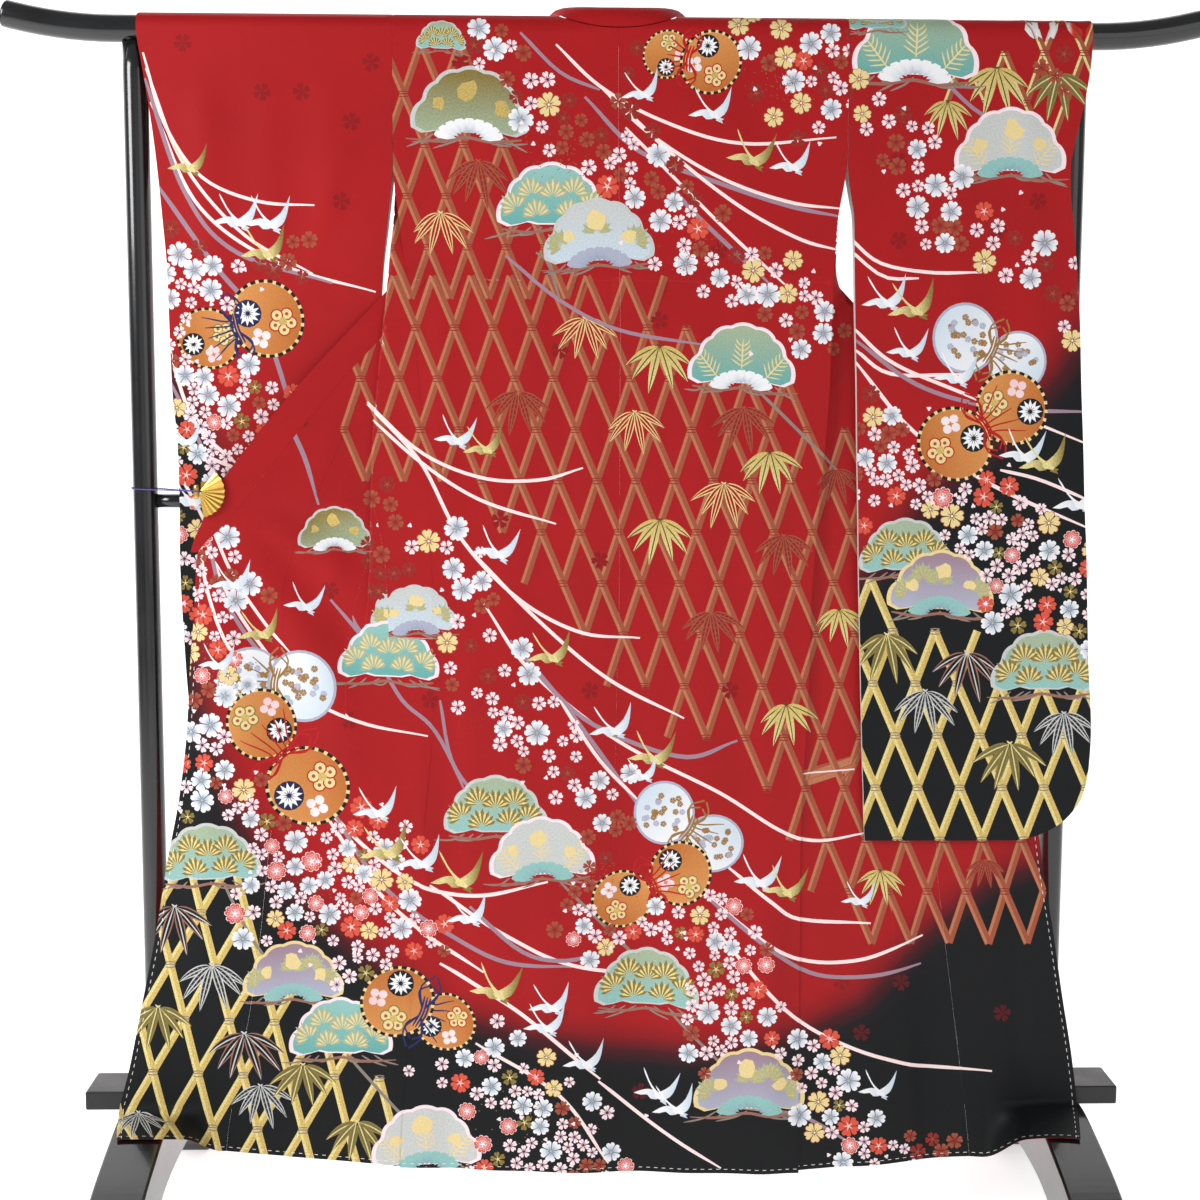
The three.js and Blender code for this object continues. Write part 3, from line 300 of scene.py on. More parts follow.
def frontLengths(side, z):
    # places across one level of a front, and the lengths of cloth up to them
    t = front[side]
    zt, zs = np.minimum(z, poleZ + 25), np.minimum(z, poleZ)
    s = back["left" if side < 0 else "right"](zs) - side * 6 * ease((1430 - z) / 30)
    xs = np.stack([s, t["fold1"](zt), t["fold2"](zt), t["okumi"](zt), t["collar"](zt), t["edge"](zt)])
    ls = np.concatenate([np.zeros((1, len(z))), np.cumsum(np.abs(np.diff(xs, axis=0)), axis=0)])
    return t, xs, ls


def frontPoint(side, length, v):
    # length of cloth from the side seam: out to the outer fold, back to the inner fold, out again to the free
    # edge; the two turns are rounded by averaging five places and step one pleat gap away from the viewer
    y0, z, arc = drape(np.maximum(shoulder - v, 0), 1)
    t, xs, ls = frontLengths(side, z)

    def at(q):
        out = xs[5].copy()
        for i in range(4, -1, -1):
            h = ls[i + 1] - ls[i]
            place = np.where(h < 1e-9, xs[i + 1],
                xs[i] + (xs[i + 1] - xs[i]) * (q - ls[i]) / np.where(h < 1e-9, 1, h))
            out = np.where(q <= ls[i + 1], place, out) if i < 4 else place
        return out
    soft = 3.5
    w = ls[2] - ls[1]
    dying = np.clip(w / 20, 0, 1)
    x = sum(at(np.clip(length + k * soft / 2, 0, ls[5])) for k in (-2, -1, 0, 1, 2)) / 5
    x = np.where(length < soft, at(length), x)
    gap1 = cloth["pleatGap"] * np.clip(ls[1] / 15, 0, 1) * dying
    gap2 = cloth["pleatGap"] * np.clip((ls[3] - ls[2]) / 15, 0, 1) * dying
    start = t["sy"](z) + t["dive"](z) * ease(length / 22)
    rise = (gap1 * ease((length - ls[1] + soft) / (2 * soft))
            + gap2 * ease((length - ls[2] + soft) / (2 * soft)))
    end = t["ey"](z) - (t["sy"](z) + t["dive"](z) + gap1 + gap2)
    free = ls[2] + w * ease((1430 - z) / 60)
    y = start + rise + end * ease((length - free) / np.maximum(30, ls[5] - free))
    y = y + (clipFold(x, z) if side < 0 else sideFold(x, z)) + ripple(x, z)
    return overFoot(side, x, np.where(arc, y0, y), z)


def sleevePoint(side, x, w):
    # w runs up the back layer, over the pole and on down the front layer
    t = sleeve[side]
    behind = w > shoulder
    d = np.abs(shoulder - w)
    yArc, z, arc = drape(d, np.where(behind, 1, -1))
    inner = t["inner"](z) + side * cloth["seamGap"] * (z > cloth["armholeZ"])
    s = (x - inner) / (np.where(behind, t["fouter"](z), t["outer"](z)) - inner)
    yb = mix(t["yb"](z), t["yo"](z), ease((s - 0.7) / 0.3))
    touch = yb + cloth["wall"] + cloth["seamGap"]
    yf = mix(t["yf"](z), np.where(z > 1475, t["yfo"](z), touch), ease((s - 0.6) / 0.35))
    yf = mix(touch, yf, ease((z - sleeveBottom[side]) / 45))
    y = np.where(arc, yArc, np.where(behind, yf, yb) + ripple(x, z))
    return np.stack([x, y, z], 1)


print("cloth surfaces ready")

# printed design: flat outlines in painter's order
# inks: red, green, blue as seen, cover, foil
inks = {
    "ground": (0.70, 0.05, 0.09, 0.0, 0.0), "tone": (0.44, 0.02, 0.05, 0.55, 0.0),
    "white": (0.95, 0.95, 0.96, 1, 0.1),
    "ice": (0.80, 0.86, 0.91, 1, 0.15), "blueGrey": (0.50, 0.60, 0.70, 1, 0.1),
    "navy": (0.12, 0.13, 0.28, 1, 0.1),
    "blush": (0.98, 0.90, 0.92, 1, 0.1), "pink": (0.95, 0.76, 0.78, 1, 0.1),
    "coral": (0.86, 0.33, 0.25, 1, 0.1),
    "copper": (0.64, 0.33, 0.23, 1, 0.45), "copperDim": (0.58, 0.17, 0.14, 1, 0.3),
    "copperPale": (0.75, 0.48, 0.34, 1, 0.6),
    "cream": (0.93, 0.84, 0.60, 1, 0.3), "gold": (0.84, 0.73, 0.42, 1, 1.0),
    "goldPale": (0.91, 0.85, 0.58, 1, 0.8), "goldDark": (0.56, 0.48, 0.24, 1, 0.8),
    "khaki": (0.46, 0.43, 0.25, 1, 0.5),
    "teal": (0.58, 0.77, 0.75, 1, 0.35), "tealDeep": (0.42, 0.69, 0.67, 1, 0.35),
    "sage": (0.66, 0.72, 0.60, 1, 0.45),
    "lavender": (0.69, 0.70, 0.78, 1, 0.3), "mauve": (0.63, 0.52, 0.58, 1, 0.15),
    "silver": (0.80, 0.81, 0.80, 1, 0.45),
    "bark": (0.56, 0.51, 0.47, 1, 0.2), "barkWarm": (0.60, 0.42, 0.36, 1, 0.2),
    "orange": (0.86, 0.58, 0.32, 1, 0.35),
    "orangeDeep": (0.74, 0.42, 0.18, 1, 0.35), "ink": (0.05, 0.06, 0.09, 1, 0.0),
    "net": (0.56, 0.12, 0.10, 1, 0.2),
    "slate": (0.13, 0.14, 0.16, 1, 0.1), "cord": (0.72, 0.07, 0.08, 1, 0.1),
    "cordBlue": (0.13, 0.16, 0.38, 1, 0.1),
    "cordGold": (0.62, 0.46, 0.24, 1, 0.5), "line": (0.99, 0.90, 0.89, 1, 0.1),
    "leafLine": (0.24, 0.27, 0.14, 1, 0.1),
    "hem": (0.80, 0.16, 0.12, 1, 0.0), "lining": (0.93, 0.92, 0.91, 1, 0.0),
    "thread": (0.96, 0.95, 0.92, 1, 0.1)}


def linear(c):
    c = np.asarray(c, float)
    return np.where(c <= 0.04045, c / 12.92, ((c + 0.055) / 1.055) ** 2.4)


inkNames = list(inks)
inkColour = linear([inks[n][:3] for n in inkNames])
inkCover = np.array([inks[n][3] for n in inkNames])
inkFoil = np.array([inks[n][4] for n in inkNames])


def turned(points, degrees):
    a = math.radians(degrees)
    c, s = math.cos(a), math.sin(a)
    p = np.asarray(points, float)
    return np.stack([p[..., 0] * c - p[..., 1] * s, p[..., 0] * s + p[..., 1] * c], -1)


def smoothLine(points, count):
    # Catmull-Rom curve through the points
    p = np.asarray(points, float)
    p = np.vstack([2 * p[0] - p[1], p, 2 * p[-1] - p[-2]])
    t = np.linspace(0, len(points) - 1 - 1e-9, count)
    i = t.astype(int)
    f = (t - i)[:, None]
    a, b, c, d = p[i], p[i + 1], p[i + 2], p[i + 3]
    return 0.5 * (2 * b + (c - a) * f + (2 * a - 5 * b + 4 * c - d) * f ** 2
                  + (3 * b - a - 3 * c + d) * f ** 3)


def ribbon(points, width, count=14, tips=(0.5, 0.3)):
    # a smooth line given a width that narrows towards its two tips
    line = smoothLine(points, count)
    run = np.gradient(line, axis=0)
    run /= np.linalg.norm(run, axis=1)[:, None] + 1e-12
    t = np.linspace(0, 1, count)
    half = np.interp(t, np.linspace(0, 1, len(width)), width) / 2 if np.ndim(width) else width / 2 * (
        1 - (1 - tips[0]) * (1 - ease(t / 0.12)) - (1 - tips[1]) * ease((t - 0.8) / 0.2))
    side = np.stack([-run[:, 1], run[:, 0]], 1) * half[:, None] if np.ndim(half) else None
    return np.vstack([line + side, (line - side)[::-1]])


def shape(points, ink, ink2=None, g0=(0, 0), g1=(0, 1)):
    return (np.asarray(points, float), ink, ink2 or ink, np.array(g0, float), np.array(g1, float))


def ring(radius, count, start=0.0):
    a = np.linspace(0, 2 * math.pi, count, endpoint=False) + start
    return np.stack([np.cos(a), np.sin(a)], 1) * radius


# cherry blossoms: five notched petals round a star, radius 1
petalHalf = np.array([(0.05, 0.08), (0.18, 0.29), (0.35, 0.53), (0.45, 0.74), (0.37, 0.93), (0.15, 1.0),
    (0, 0.85)])
petalShape = np.vstack([petalHalf, (petalHalf * (-1, 1))[-2::-1]])
blossomKinds = {
    "white": {"petal": "white", "heart": "blueGrey", "star": "blueGrey", "dot": "gold", "wide": 1.0,
        "rim": None},
    "small": {"petal": "blush", "heart": "pink", "star": "navy", "dot": None, "wide": 0.84, "rim": None},
    "coral": {"petal": "coral", "heart": "coral", "star": "pink", "dot": "cream", "wide": 0.98, "rim": None},
    "copper": {"petal": "copper", "heart": "copperDim", "star": "net", "dot": None, "wide": 0.9, "rim": None},
    "dim": {"petal": "copperDim", "heart": "net", "star": "copper", "dot": None, "wide": 0.86, "rim": None},
    "cream": {"petal": "cream", "heart": "goldPale", "star": "copper", "dot": "white", "wide": 0.94,
        "rim": "copper"},
    "dotted": {"petal": "coral", "heart": "pink", "star": "white", "dot": None, "wide": 0.98, "rim": "blush"},
    "gold": {"petal": "goldDark", "heart": "khaki", "star": "cream", "dot": None, "wide": 0.8, "rim": None},
    "tone": {"petal": "tone", "heart": "tone", "star": "tone", "dot": None, "wide": 0.8, "rim": None}}


def blossom(kind):
    look = blossomKinds[kind]
    made = []
    for k in range(5):
        petal = petalShape * (look["wide"], 1)
        tip = turned((0, 0.75), 72 * k)
        if look["rim"]:
            made.append(shape(turned(petal * (1.14, 1.06), 72 * k), look["rim"]))
        made.append(shape(turned(petal, 72 * k), look["heart"], look["petal"], (0, 0), tip))
        if kind == "dotted":
            for x, y in ((-0.14, 0.42), (0.14, 0.42), (-0.22, 0.7), (0, 0.66), (0.22, 0.7)):
                made.append(shape(turned(np.array([(x - 0.05, y), (x, y - 0.05), (x + 0.05, y),
                    (x, y + 0.05)]), 72 * k), "white"))
    star = np.vstack([ring(1, 10, math.pi / 2)]) * np.where(np.arange(10) % 2 == 0, 0.5, 0.12)[:, None]
    made.append(shape(star, look["star"]))
    if look["dot"]:
        made.append(shape(ring(0.11, 6), look["dot"]))
    return made


# pine boughs as clouds: width 1, foot at height 0
cloudKinds = {
    "teal": {"rim": "silver", "low": "teal", "high": "sage", "fan": None, "needle": "goldPale", "spray": 7,
        "sprig": 0},
    "tealRim": {"rim": "blush", "low": "tealDeep", "high": "teal", "fan": None, "needle": "cream",
        "spray": 7, "sprig": 0},
    "sage": {"rim": "silver", "low": "sage", "high": "goldDark", "fan": "white", "needle": "goldPale",
        "spray": 0, "sprig": 0},
    "sageTeal": {"rim": "blush", "low": "tealDeep", "high": "sage", "fan": "white", "needle": "cream",
        "spray": 0, "sprig": 3},
    "pearl": {"rim": "silver", "low": "ice", "high": "silver", "fan": "lavender", "needle": "gold",
        "spray": 3, "sprig": 0},
    "lavender": {"rim": "cream", "low": "lavender", "high": "mauve", "fan": "teal", "needle": "gold",
        "spray": 4, "sprig": 0},
    "silver": {"rim": "blush", "low": "silver", "high": "silver", "fan": "teal", "needle": "cream",
        "spray": 0, "sprig": 3}}


def cloudLine(size):
    # three broad lobes with a scalloped rim over a foot that arches up
    t = np.linspace(0, math.pi, 67)
    lobes = 1 + 0.13 * np.abs(np.cos(1.5 * (t - math.pi / 2))) + 0.055 * np.abs(np.sin(7 * t)) ** 0.7
    top = np.stack([0.42 * np.cos(t) * lobes, 0.10 + 0.42 * np.sin(t) ** 0.85 * lobes], 1)
    u = np.linspace(0, 1, 12)[1:-1]
    low = np.stack([mix(top[-1, 0], top[0, 0], u),
        0.10 - 0.09 * np.sin(np.pi * u) ** 0.5 * np.abs(np.cos(2 * np.pi * u))
        + 0.07 * np.exp(-((u - 0.5) / 0.16) ** 2)], 1)
    line = np.vstack([top, low])
    centre = np.array((0, 0.24))
    return centre + (line - centre) * size


def needleFan(at, aim, count, length, spread, wide=0.022):
    made = []
    for k in range(count):
        a = math.radians(aim + spread * (k / (count - 1) - 0.5))
        run = np.array((math.sin(a), math.cos(a)))
        side = np.array((run[1], -run[0])) * wide / 2
        reach = length * (1 - 0.25 * abs(k / (count - 1) - 0.5) * 2)
        made.append(np.array([at + run * 0.02, at + run * reach * 0.75 + side, at + run * reach,
            at + run * reach * 0.75 - side]))
    return made


def pineCloud(kind, seed=0):
    look = cloudKinds[kind]
    dice = np.random.default_rng(seed)
    made = []
    for k in range(7):   # twigs below the bough
        x0 = -0.30 + 0.1 * k + dice.uniform(-0.02, 0.02)
        out = dice.uniform(0.16, 0.30) * (1 if k > 2 else -1)
        made.append(shape(ribbon([(x0, 0.05), (x0 + out * 0.4, -0.01),
            (x0 + out, -0.02 + dice.uniform(-0.05, 0.03))], 0.016, 7), "bark"))
    made.append(shape(ribbon([(-0.44, 0.03), (-0.2, 0.0), (0.02, 0.03), (0.24, -0.01), (0.52, 0.0)], 0.026,
        14), "barkWarm"))
    made.append(shape(cloudLine(1.05), look["rim"]))
    made.append(shape(cloudLine(0.965), look["low"], look["high"], (0, 0.08), (0, 0.55)))
    spots = [((-0.30, 0.20), -38), ((0.30, 0.20), 38), ((0.0, 0.30), 0), ((-0.17, 0.33), -16),
        ((0.17, 0.33), 16), ((-0.12, 0.13), -10), ((0.13, 0.13), 12)]
    for (x, y), aim in spots[:look["spray"]]:
        at = np.array((x, y)) + dice.uniform(-0.015, 0.015, 2)
        made += [shape(f, "sage" if look["high"] != "sage" else "goldDark") for f in needleFan(at, aim, 8,
            0.19, 150, 0.034)]
        made += [shape(f, look["needle"]) for f in needleFan(at, aim, 7, 0.17, 130)]
    for (x, y), aim in (((-0.22, 0.12), -40), ((0.0, 0.20), 0), ((0.22, 0.12), 40))[:look["sprig"]]:
        stem = np.array([(0, 0), (0, 0.13), (0, 0.27)])
        base = np.array((x, y))
        made.append(shape(base + turned(ribbon(stem, 0.014, 5), -aim), look["needle"]))
        for j in range(5):
            for way in (-1, 1):
                h = 0.05 + 0.045 * j
                twig = ribbon([(0, h - 0.03), (way * 0.045, h), (way * (0.1 - 0.01 * j), h + 0.035)], 0.012,
                    4)
                made.append(shape(base + turned(twig, -aim), look["needle"]))
    if look["high"] in ("goldDark", "silver", "mauve"):
        # leaf-gold patches
        for (x, y), r in (((-0.26, 0.28), 0.07), ((0.02, 0.42), 0.09), ((0.26, 0.30), 0.06)):
            made.append(shape(np.array((x, y)) + ring(r, 9) * dice.uniform(0.6, 1.2, (9, 1)),
                "gold" if look["high"] == "goldDark" else "cream"))
    if look["fan"]:
        for k in range(9):   # row of scale petals along the foot
            a = math.radians(-72 + 18 * k)
            petal = np.array([(0, 0.10), (0.035, 0.16), (0.042, 0.235), (0.022, 0.275), (-0.022, 0.275),
                (-0.042, 0.235), (-0.035, 0.16)])
            petal = turned(petal * (1, 0.86), -math.degrees(a)) * (1.25, 0.8) + (0, 0.0)
            made.append(shape(petal, "blueGrey", look["fan"], (0, 0.06),
                turned((0, 0.16), -math.degrees(a)) * (1.25, 0.8)))
    return made


# bamboo leaves: five to seven blades hanging from a node, reach 1
leafKinds = {
    "gold": {"rim": None, "fill": "gold", "fill2": "goldPale", "rib": "leafLine", "net": None},
    "outline": {"rim": "goldPale", "fill": "ground", "fill2": "ground", "rib": "goldPale", "net": None},
    "netted": {"rim": "copper", "fill": "net", "fill2": "net", "rib": "copper", "net": "copper"},
    "khaki": {"rim": "goldDark", "fill": "khaki", "fill2": "khaki", "rib": "goldPale", "net": None},
    "dark": {"rim": "silver", "fill": "slate", "fill2": "slate", "rib": "silver", "net": "bark"},
    "open": {"rim": "barkWarm", "fill": "ground", "fill2": "ground", "rib": "silver", "net": None}}


def blade(length, wide, bow):
    t = np.linspace(0, 1, 9)
    half = wide * np.sin(np.pi * t ** 0.8) ** 0.8 * (1 - 0.25 * t)
    mid = np.stack([bow * t * t, -length * t], 1)
    return np.vstack([mid + np.stack([half, 0 * t], 1), (mid - np.stack([half, 0 * t], 1))[-2:0:-1]]), mid


def bambooLeaves(kind, seed=0):
    look = leafKinds[kind]
    dice = np.random.default_rng(seed)
    made = []
    for aim, reach in ((-74, 0.78), (74, 0.8), (-47, 0.92), (46, 0.95), (-17, 1.0), (16, 1.04)):
        aim = aim + dice.uniform(-5, 5)
        reach = reach * dice.uniform(0.92, 1.08)
        bow = -0.16 * np.sign(aim) * abs(aim) / 60
        outer, mid = blade(reach, 0.105, bow)
        inner, _ = blade(reach, 0.072, bow)
        start = np.array((0.02 * np.sign(aim), -0.02))
        if look["rim"]:
            made.append(shape(start + turned(outer, aim), look["rim"]))
        made.append(shape(start + turned(inner if look["rim"] else outer, aim), look["fill"], look["fill2"],
            (0, 0), (0, -0.9)))
        made.append(shape(start + turned(ribbon(mid[[0, 3, 6, 8]] * (1, 0.96), 0.026, 8), aim), look["rib"]))
        if look["net"]:
            for j in range(2, 8):
                m, h = mid[j], 0.055 * math.sin(math.pi * (j / 8) ** 0.8)
                for way in (-1, 1):
                    bar = np.array([m + (way * 0.018, 0.03), m + (way * h, 0.0), m + (way * h, -0.022),
                        m + (way * 0.018, 0.008)])
                    made.append(shape(start + turned(bar, aim), look["net"]))
    made.append(shape(ribbon([(-0.06, 0.05), (0, 0.0), (0.05, 0.04)], 0.04, 5), look["rib"]))
    return made


# cranes in flight: neck stretched up, wings swept, span about 1
def crane(kind):
    main, shade = {"white": ("white", "ice"), "gold": ("goldPale", "goldDark")}[kind]
    wingUp = smoothLine([(-0.06, -0.02), (0.12, 0.10), (0.30, 0.26), (0.44, 0.52), (0.50, 0.66)], 9)
    wingUp = np.vstack([wingUp, smoothLine([(0.50, 0.66), (0.47, 0.40), (0.42, 0.16), (0.33, -0.02),
        (0.16, -0.12), (0.0, -0.10)], 11)[1:]])
    wingLow = smoothLine([(0.06, 0.02), (-0.14, 0.10), (-0.34, 0.06), (-0.56, -0.05)], 8)
    wingLow = np.vstack([wingLow, smoothLine([(-0.56, -0.05), (-0.38, -0.08), (-0.22, -0.05), (-0.12, -0.14),
        (0.04, -0.13)], 9)[1:]])
    neck = ribbon([(-0.40, 0.62), (-0.34, 0.50), (-0.20, 0.26), (-0.05, 0.08), (0.08, -0.04), (0.2, -0.12)],
                  [0.004, 0.042, 0.034, 0.06, 0.15, 0.05], 12)
    tail = np.array([(0.14, -0.06), (0.32, -0.14), (0.26, -0.17), (0.30, -0.24), (0.12, -0.17)])
    return [shape(wingLow, shade, main, (0.1, 0), (-0.3, 0)),
            shape(wingUp, main, shade, (0.1, 0.1), (0.4, 0.1)),
            shape(tail, shade), shape(neck, main)]


# hand drums: round skins with a stitched rim, roundels and cords
def drumSkin(kind, seed=0):
    dice = np.random.default_rng(seed)
    plain = kind == "white"
    made = [shape(ring(1.03, 30) * (1, 0.94), "lavender" if plain else "ink")]
    made.append(shape(ring(0.95, 30) * (1, 0.94), "ice" if plain else "orangeDeep",
        "white" if plain else "orange", (-0.6, -0.8), (0.5, 0.6)))
    if not plain:
        for k in range(26):
            a = 2 * math.pi * k / 26
            made.append(shape(turned(np.array([(0.93, -0.045), (1.02, -0.045), (1.02, 0.045),
                (0.93, 0.045)]), math.degrees(a)) * (1, 0.94), "cream"))
    if plain:
        for k in range(26):
            c = dice.uniform(-0.6, 0.6, 2)
            if np.hypot(*c) < 0.7:
                made += [shape(c + turned(petalShape, 72 * j) * 0.1,
                    "cordGold" if k % 3 else "lavender") for j in range(5)]
        return made
    wheel = np.array((0.34, 0.38)) * (1 if seed % 2 else -1)
    made.append(shape(wheel + ring(0.36, 16), "ink" if seed % 3 else "navy"))
    for k in range(12):
        made.append(shape(wheel + turned(np.array([(0.05, 0.0), (0.18, -0.055), (0.33, 0.0), (0.18, 0.045)]),
            30 * k), "white"))
    plum = np.array((-0.30, -0.34)) * (1 if seed % 2 else -1) + (0.05, 0)
    for k in range(5):
        c = plum + turned((0, 0.22), 72 * k)
        made.append(shape(c + ring(0.17, 10), "cord" if seed % 2 else "goldDark"))
        made.append(shape(c + ring(0.135, 10), "cream"))
        made.append(shape(c + ring(0.05, 6), "copper"))
    made.append(shape(plum + ring(0.11, 8), "gold"))
    for k in range(4):
        c = np.array((0.42, -0.42)) * (1 if seed % 2 == 0 else -1) * 0.9 + turned((0, 0.16), 90 * k)
        made.append(shape(c + ring(0.12, 8), "white", "pink", (-1, 0), (1, 0)))
    return made


# placing: every shape goes to X and unrolled height in millimetres
def put(art, shapes, at, size, turn=0.0, flip=1):
    c = spot([at])[0]
    size = size * view["unit"]
    for points, ink, ink2, g0, g1 in shapes:
        q = [c + turned(np.asarray(p) * (flip, 1), turn) * size for p in (points, g0, g1)]
        art.append((q[0], inkNames.index(ink), inkNames.index(ink2), q[1], q[2]))


def putLine(art, points, ink, width, count=None, tips=(0.6, 0.5)):
    q = spot(points)
    length = np.linalg.norm(np.diff(q, axis=0), axis=1).sum()
    count = count or int(np.clip(length / 14, 6, 60))
    k = inkNames.index(ink)
    art.append((ribbon(q, width * view["unit"], count, tips), k, k, q[0], q[0] + 1))


def within(poly, pts):
    # even-odd rule for many points at once
    a = np.asarray(poly, float)
    b = np.roll(a, -1, 0)
    x, y = pts[:, 0][:, None], pts[:, 1][:, None]
    cross = (a[:, 1] > y) != (b[:, 1] > y)
    at = a[:, 0] + (y - a[:, 1]) * (b[:, 0] - a[:, 0]) / np.where(b[:, 1] == a[:, 1], 1e-9, b[:, 1] - a[:, 1])
    return (np.sum(cross & (x < at), axis=1) % 2) == 1


def lattice(art, zone, origin, right, left, width, strip, light, tie):
    # bamboo fence: strips along two slanted directions, tied where they cross
    zone = np.array(zone, float)
    o, e1, e2 = np.array(origin, float), np.array(right, float), np.array(left, float)
    low, high = zone.min(0), zone.max(0)
    reach = int(np.ceil(max(high - low) / 38)) + 3
    i, j = np.meshgrid(np.arange(-reach, reach), np.arange(-reach, reach), indexing="ij")
    grid = o + i[..., None] * e1 + j[..., None] * e2
    node = grid.reshape(-1, 2)
    for e, rows in ((e2, grid), (e1, grid.swapaxes(0, 1))):
        side = np.array((e[1], -e[0])) / np.hypot(*e)
        for row in rows:
            inside = within(zone, row + e / 2).tolist() + [False]
            first = None
            for n, kept in enumerate(inside):
                if kept and first is None:
                    first = n
                elif not kept and first is not None:   # one strip from the first node of the run to its last
                    p, q = row[first], row[first] + e * (n - first)
                    for off, w, ink in ((0, width, strip), (-width * 0.28, width * 0.36, light)):
                        quad = np.array([p + side * (off - w / 2), p + side * (off + w / 2),
                            q + side * (off + w / 2), q + side * (off - w / 2)])
                        quad[2:] += e * (0.011 if ink == strip else 0.0)
                        k = inkNames.index(ink)
                        m = spot(quad)
                        art.append((m, k, k, m[0], m[1]))
                    first = None
    for c in node[within(zone, node)]:
        for dy in (-2.4, 0, 2.4):
            half = width * (0.62 if dy else 0.7)
            bow = 0.5 if dy > 0 else -0.5
            quad = np.array([(c[0] - half, c[1] + dy), (c[0], c[1] + dy + bow), (c[0] + half, c[1] + dy),
                (c[0] + half, c[1] + dy + 1.1), (c[0], c[1] + dy + bow + 1.1),
                (c[0] - half, c[1] + dy + 1.1)])
            k = inkNames.index(tie)
            q = spot(quad)
            art.append((q, k, k, q[0], q[1]))


mixes = {
    "red": (("white", 0.30, 11.5), ("small", 0.33, 7.0), ("copper", 0.14, 8.0), ("dim", 0.11, 8.5),
        ("cream", 0.07, 10.5), ("coral", 0.05, 10)),
    "dense": (("white", 0.25, 11), ("small", 0.30, 7.0), ("coral", 0.16, 10), ("cream", 0.09, 10.5),
        ("copper", 0.06, 8), ("dotted", 0.08, 9), ("gold", 0.06, 8)),
    "faint": (("dim", 0.5, 8.5), ("copper", 0.5, 8.0))}
flowerDice = np.random.default_rng(23)


def scatter(art, path, spreadOut, count, mixName, taken):
    # blossoms strewn along a path with a bell-shaped spread, none on top of another
    line = smoothLine(path, 60)
    names = [m[0] for m in mixes[mixName]]
    odds = np.array([m[1] for m in mixes[mixName]])
    size = {m[0]: m[2] for m in mixes[mixName]}
    made = tries = 0
    while made < count and tries < count * 30:
        tries += 1
        c = line[flowerDice.integers(60)] + flowerDice.normal(0, spreadOut, 2)
        kind = names[flowerDice.choice(len(names), p=odds / odds.sum())]
        r = size[kind] * flowerDice.uniform(0.82, 1.15)
        if any(np.hypot(c[0] - t[0], c[1] - t[1]) < (r + t[2]) * 0.86 for t in taken):
            continue
        taken.append((c[0], c[1], r))
        put(art, blossom(kind), c, r, flowerDice.uniform(0, 72))
        made += 1
    for _ in range(count // 6):
        c = line[flowerDice.integers(60)] + flowerDice.normal(0, spreadOut * 1.5, 2)
        put(art, [shape(petalShape - (0, 0.5), "blush")], c, 5.0, flowerDice.uniform(0, 360))


def sprinkle(art, at, spreadOut, count, ink):
    # fine dots like blown gold powder
    for x, y in flowerDice.normal(0, spreadOut, (count, 2)):
        put(art, [shape(ring(1, 4), ink)], (at[0] + x, at[1] + y * 0.7), 0.75)


def drumPair(art, kind, a, b, ra, rb, cords, seed):
    # two skins with a narrow waist between them, cords drawn from rim to rim and tied in a bow
    pa, pb = np.array(a, float), np.array(b, float)
    run = (pb - pa) / np.hypot(*(pb - pa))
    side = np.array((-run[1], run[0]))
    mid = (pa + pb) / 2
    put(art, drumSkin(kind, seed + 1), b, rb, seed * 37)
    for f in (-0.8, -0.4, 0.0, 0.4, 0.8):
        putLine(art, [pa + side * ra * f, mid + side * (ra * f * 0.3), pb + side * rb * f * 0.9], cords, 1.6,
            12)
    put(art, drumSkin(kind, seed), a, ra, seed * 53)
    for k in range(3):
        off = run * (k - 1) * 3
        putLine(art, [mid + off - side * ra * 0.42, mid + off + run * 2, mid + off + side * ra * 0.42],
            cords, 2.0, 8)
    for way in (-1, 1):
        for reach in (0.75, 1.0):
            q, tip = mid + side * way * 4, mid + side * way * ra * reach
            putLine(art, [q + run * 1.2, q + side * way * ra * reach * 0.55 + run * 9, tip + run * 1.5],
                cords, 1.7, 10, (1, 1))
            putLine(art, [q - run * 1.2, q + side * way * ra * reach * 0.5 - run * 10, tip - run * 1.0],
                cords, 1.7, 10, (1, 1))


bodyArt, leftArt, rightArt = [], [], []
onRed = dict(width=7.4, strip="copper", light="copperPale", tie="copperDim")
onDark = dict(width=7.6, strip="gold", light="goldPale", tie="bark")

# body: fence over the back, lower left corner and the right front
lattice(bodyArt, [(380, 22), (455, 22), (500, 130), (560, 262), (590, 279), (380, 279)], (428, 246),
    (21.5, 51.5), (-17.5, 51.5), **onRed)
lattice(bodyArt, [(330, 283), (650, 283), (720, 340), (790, 400), (880, 420), (1040, 700), (1040, 935),
                  (850, 935), (806, 838), (742, 762), (690, 735),
                  (640, 690), (560, 610), (520, 560), (480, 490), (430, 470), (340, 480)], (454, 327),
                  (21.8, 51.2), (-17.0, 51.2), **onRed)
lattice(bodyArt, [(150, 868), (240, 880), (262, 940), (330, 1000), (372, 1060), (410, 1120), (420, 1185),
    (60, 1185), (100, 1000)],
        (155, 1068), (14, 54), (-31, 52.5), **onDark)
for x, y in ((500, 520), (590, 690), (690, 820), (860, 1030), (900, 980), (560, 1010), (330, 590),
             (300, 420), (660, 320), (560, 350), (730, 690), (840, 980),
             (430, 700), (350, 720), (1000, 1010), (460, 60), (720, 250), (640, 1090), (800, 1110),
             (600, 560), (340, 240), (310, 330)):
    put(bodyArt, blossom("tone"), (x, y), 9, x % 72)
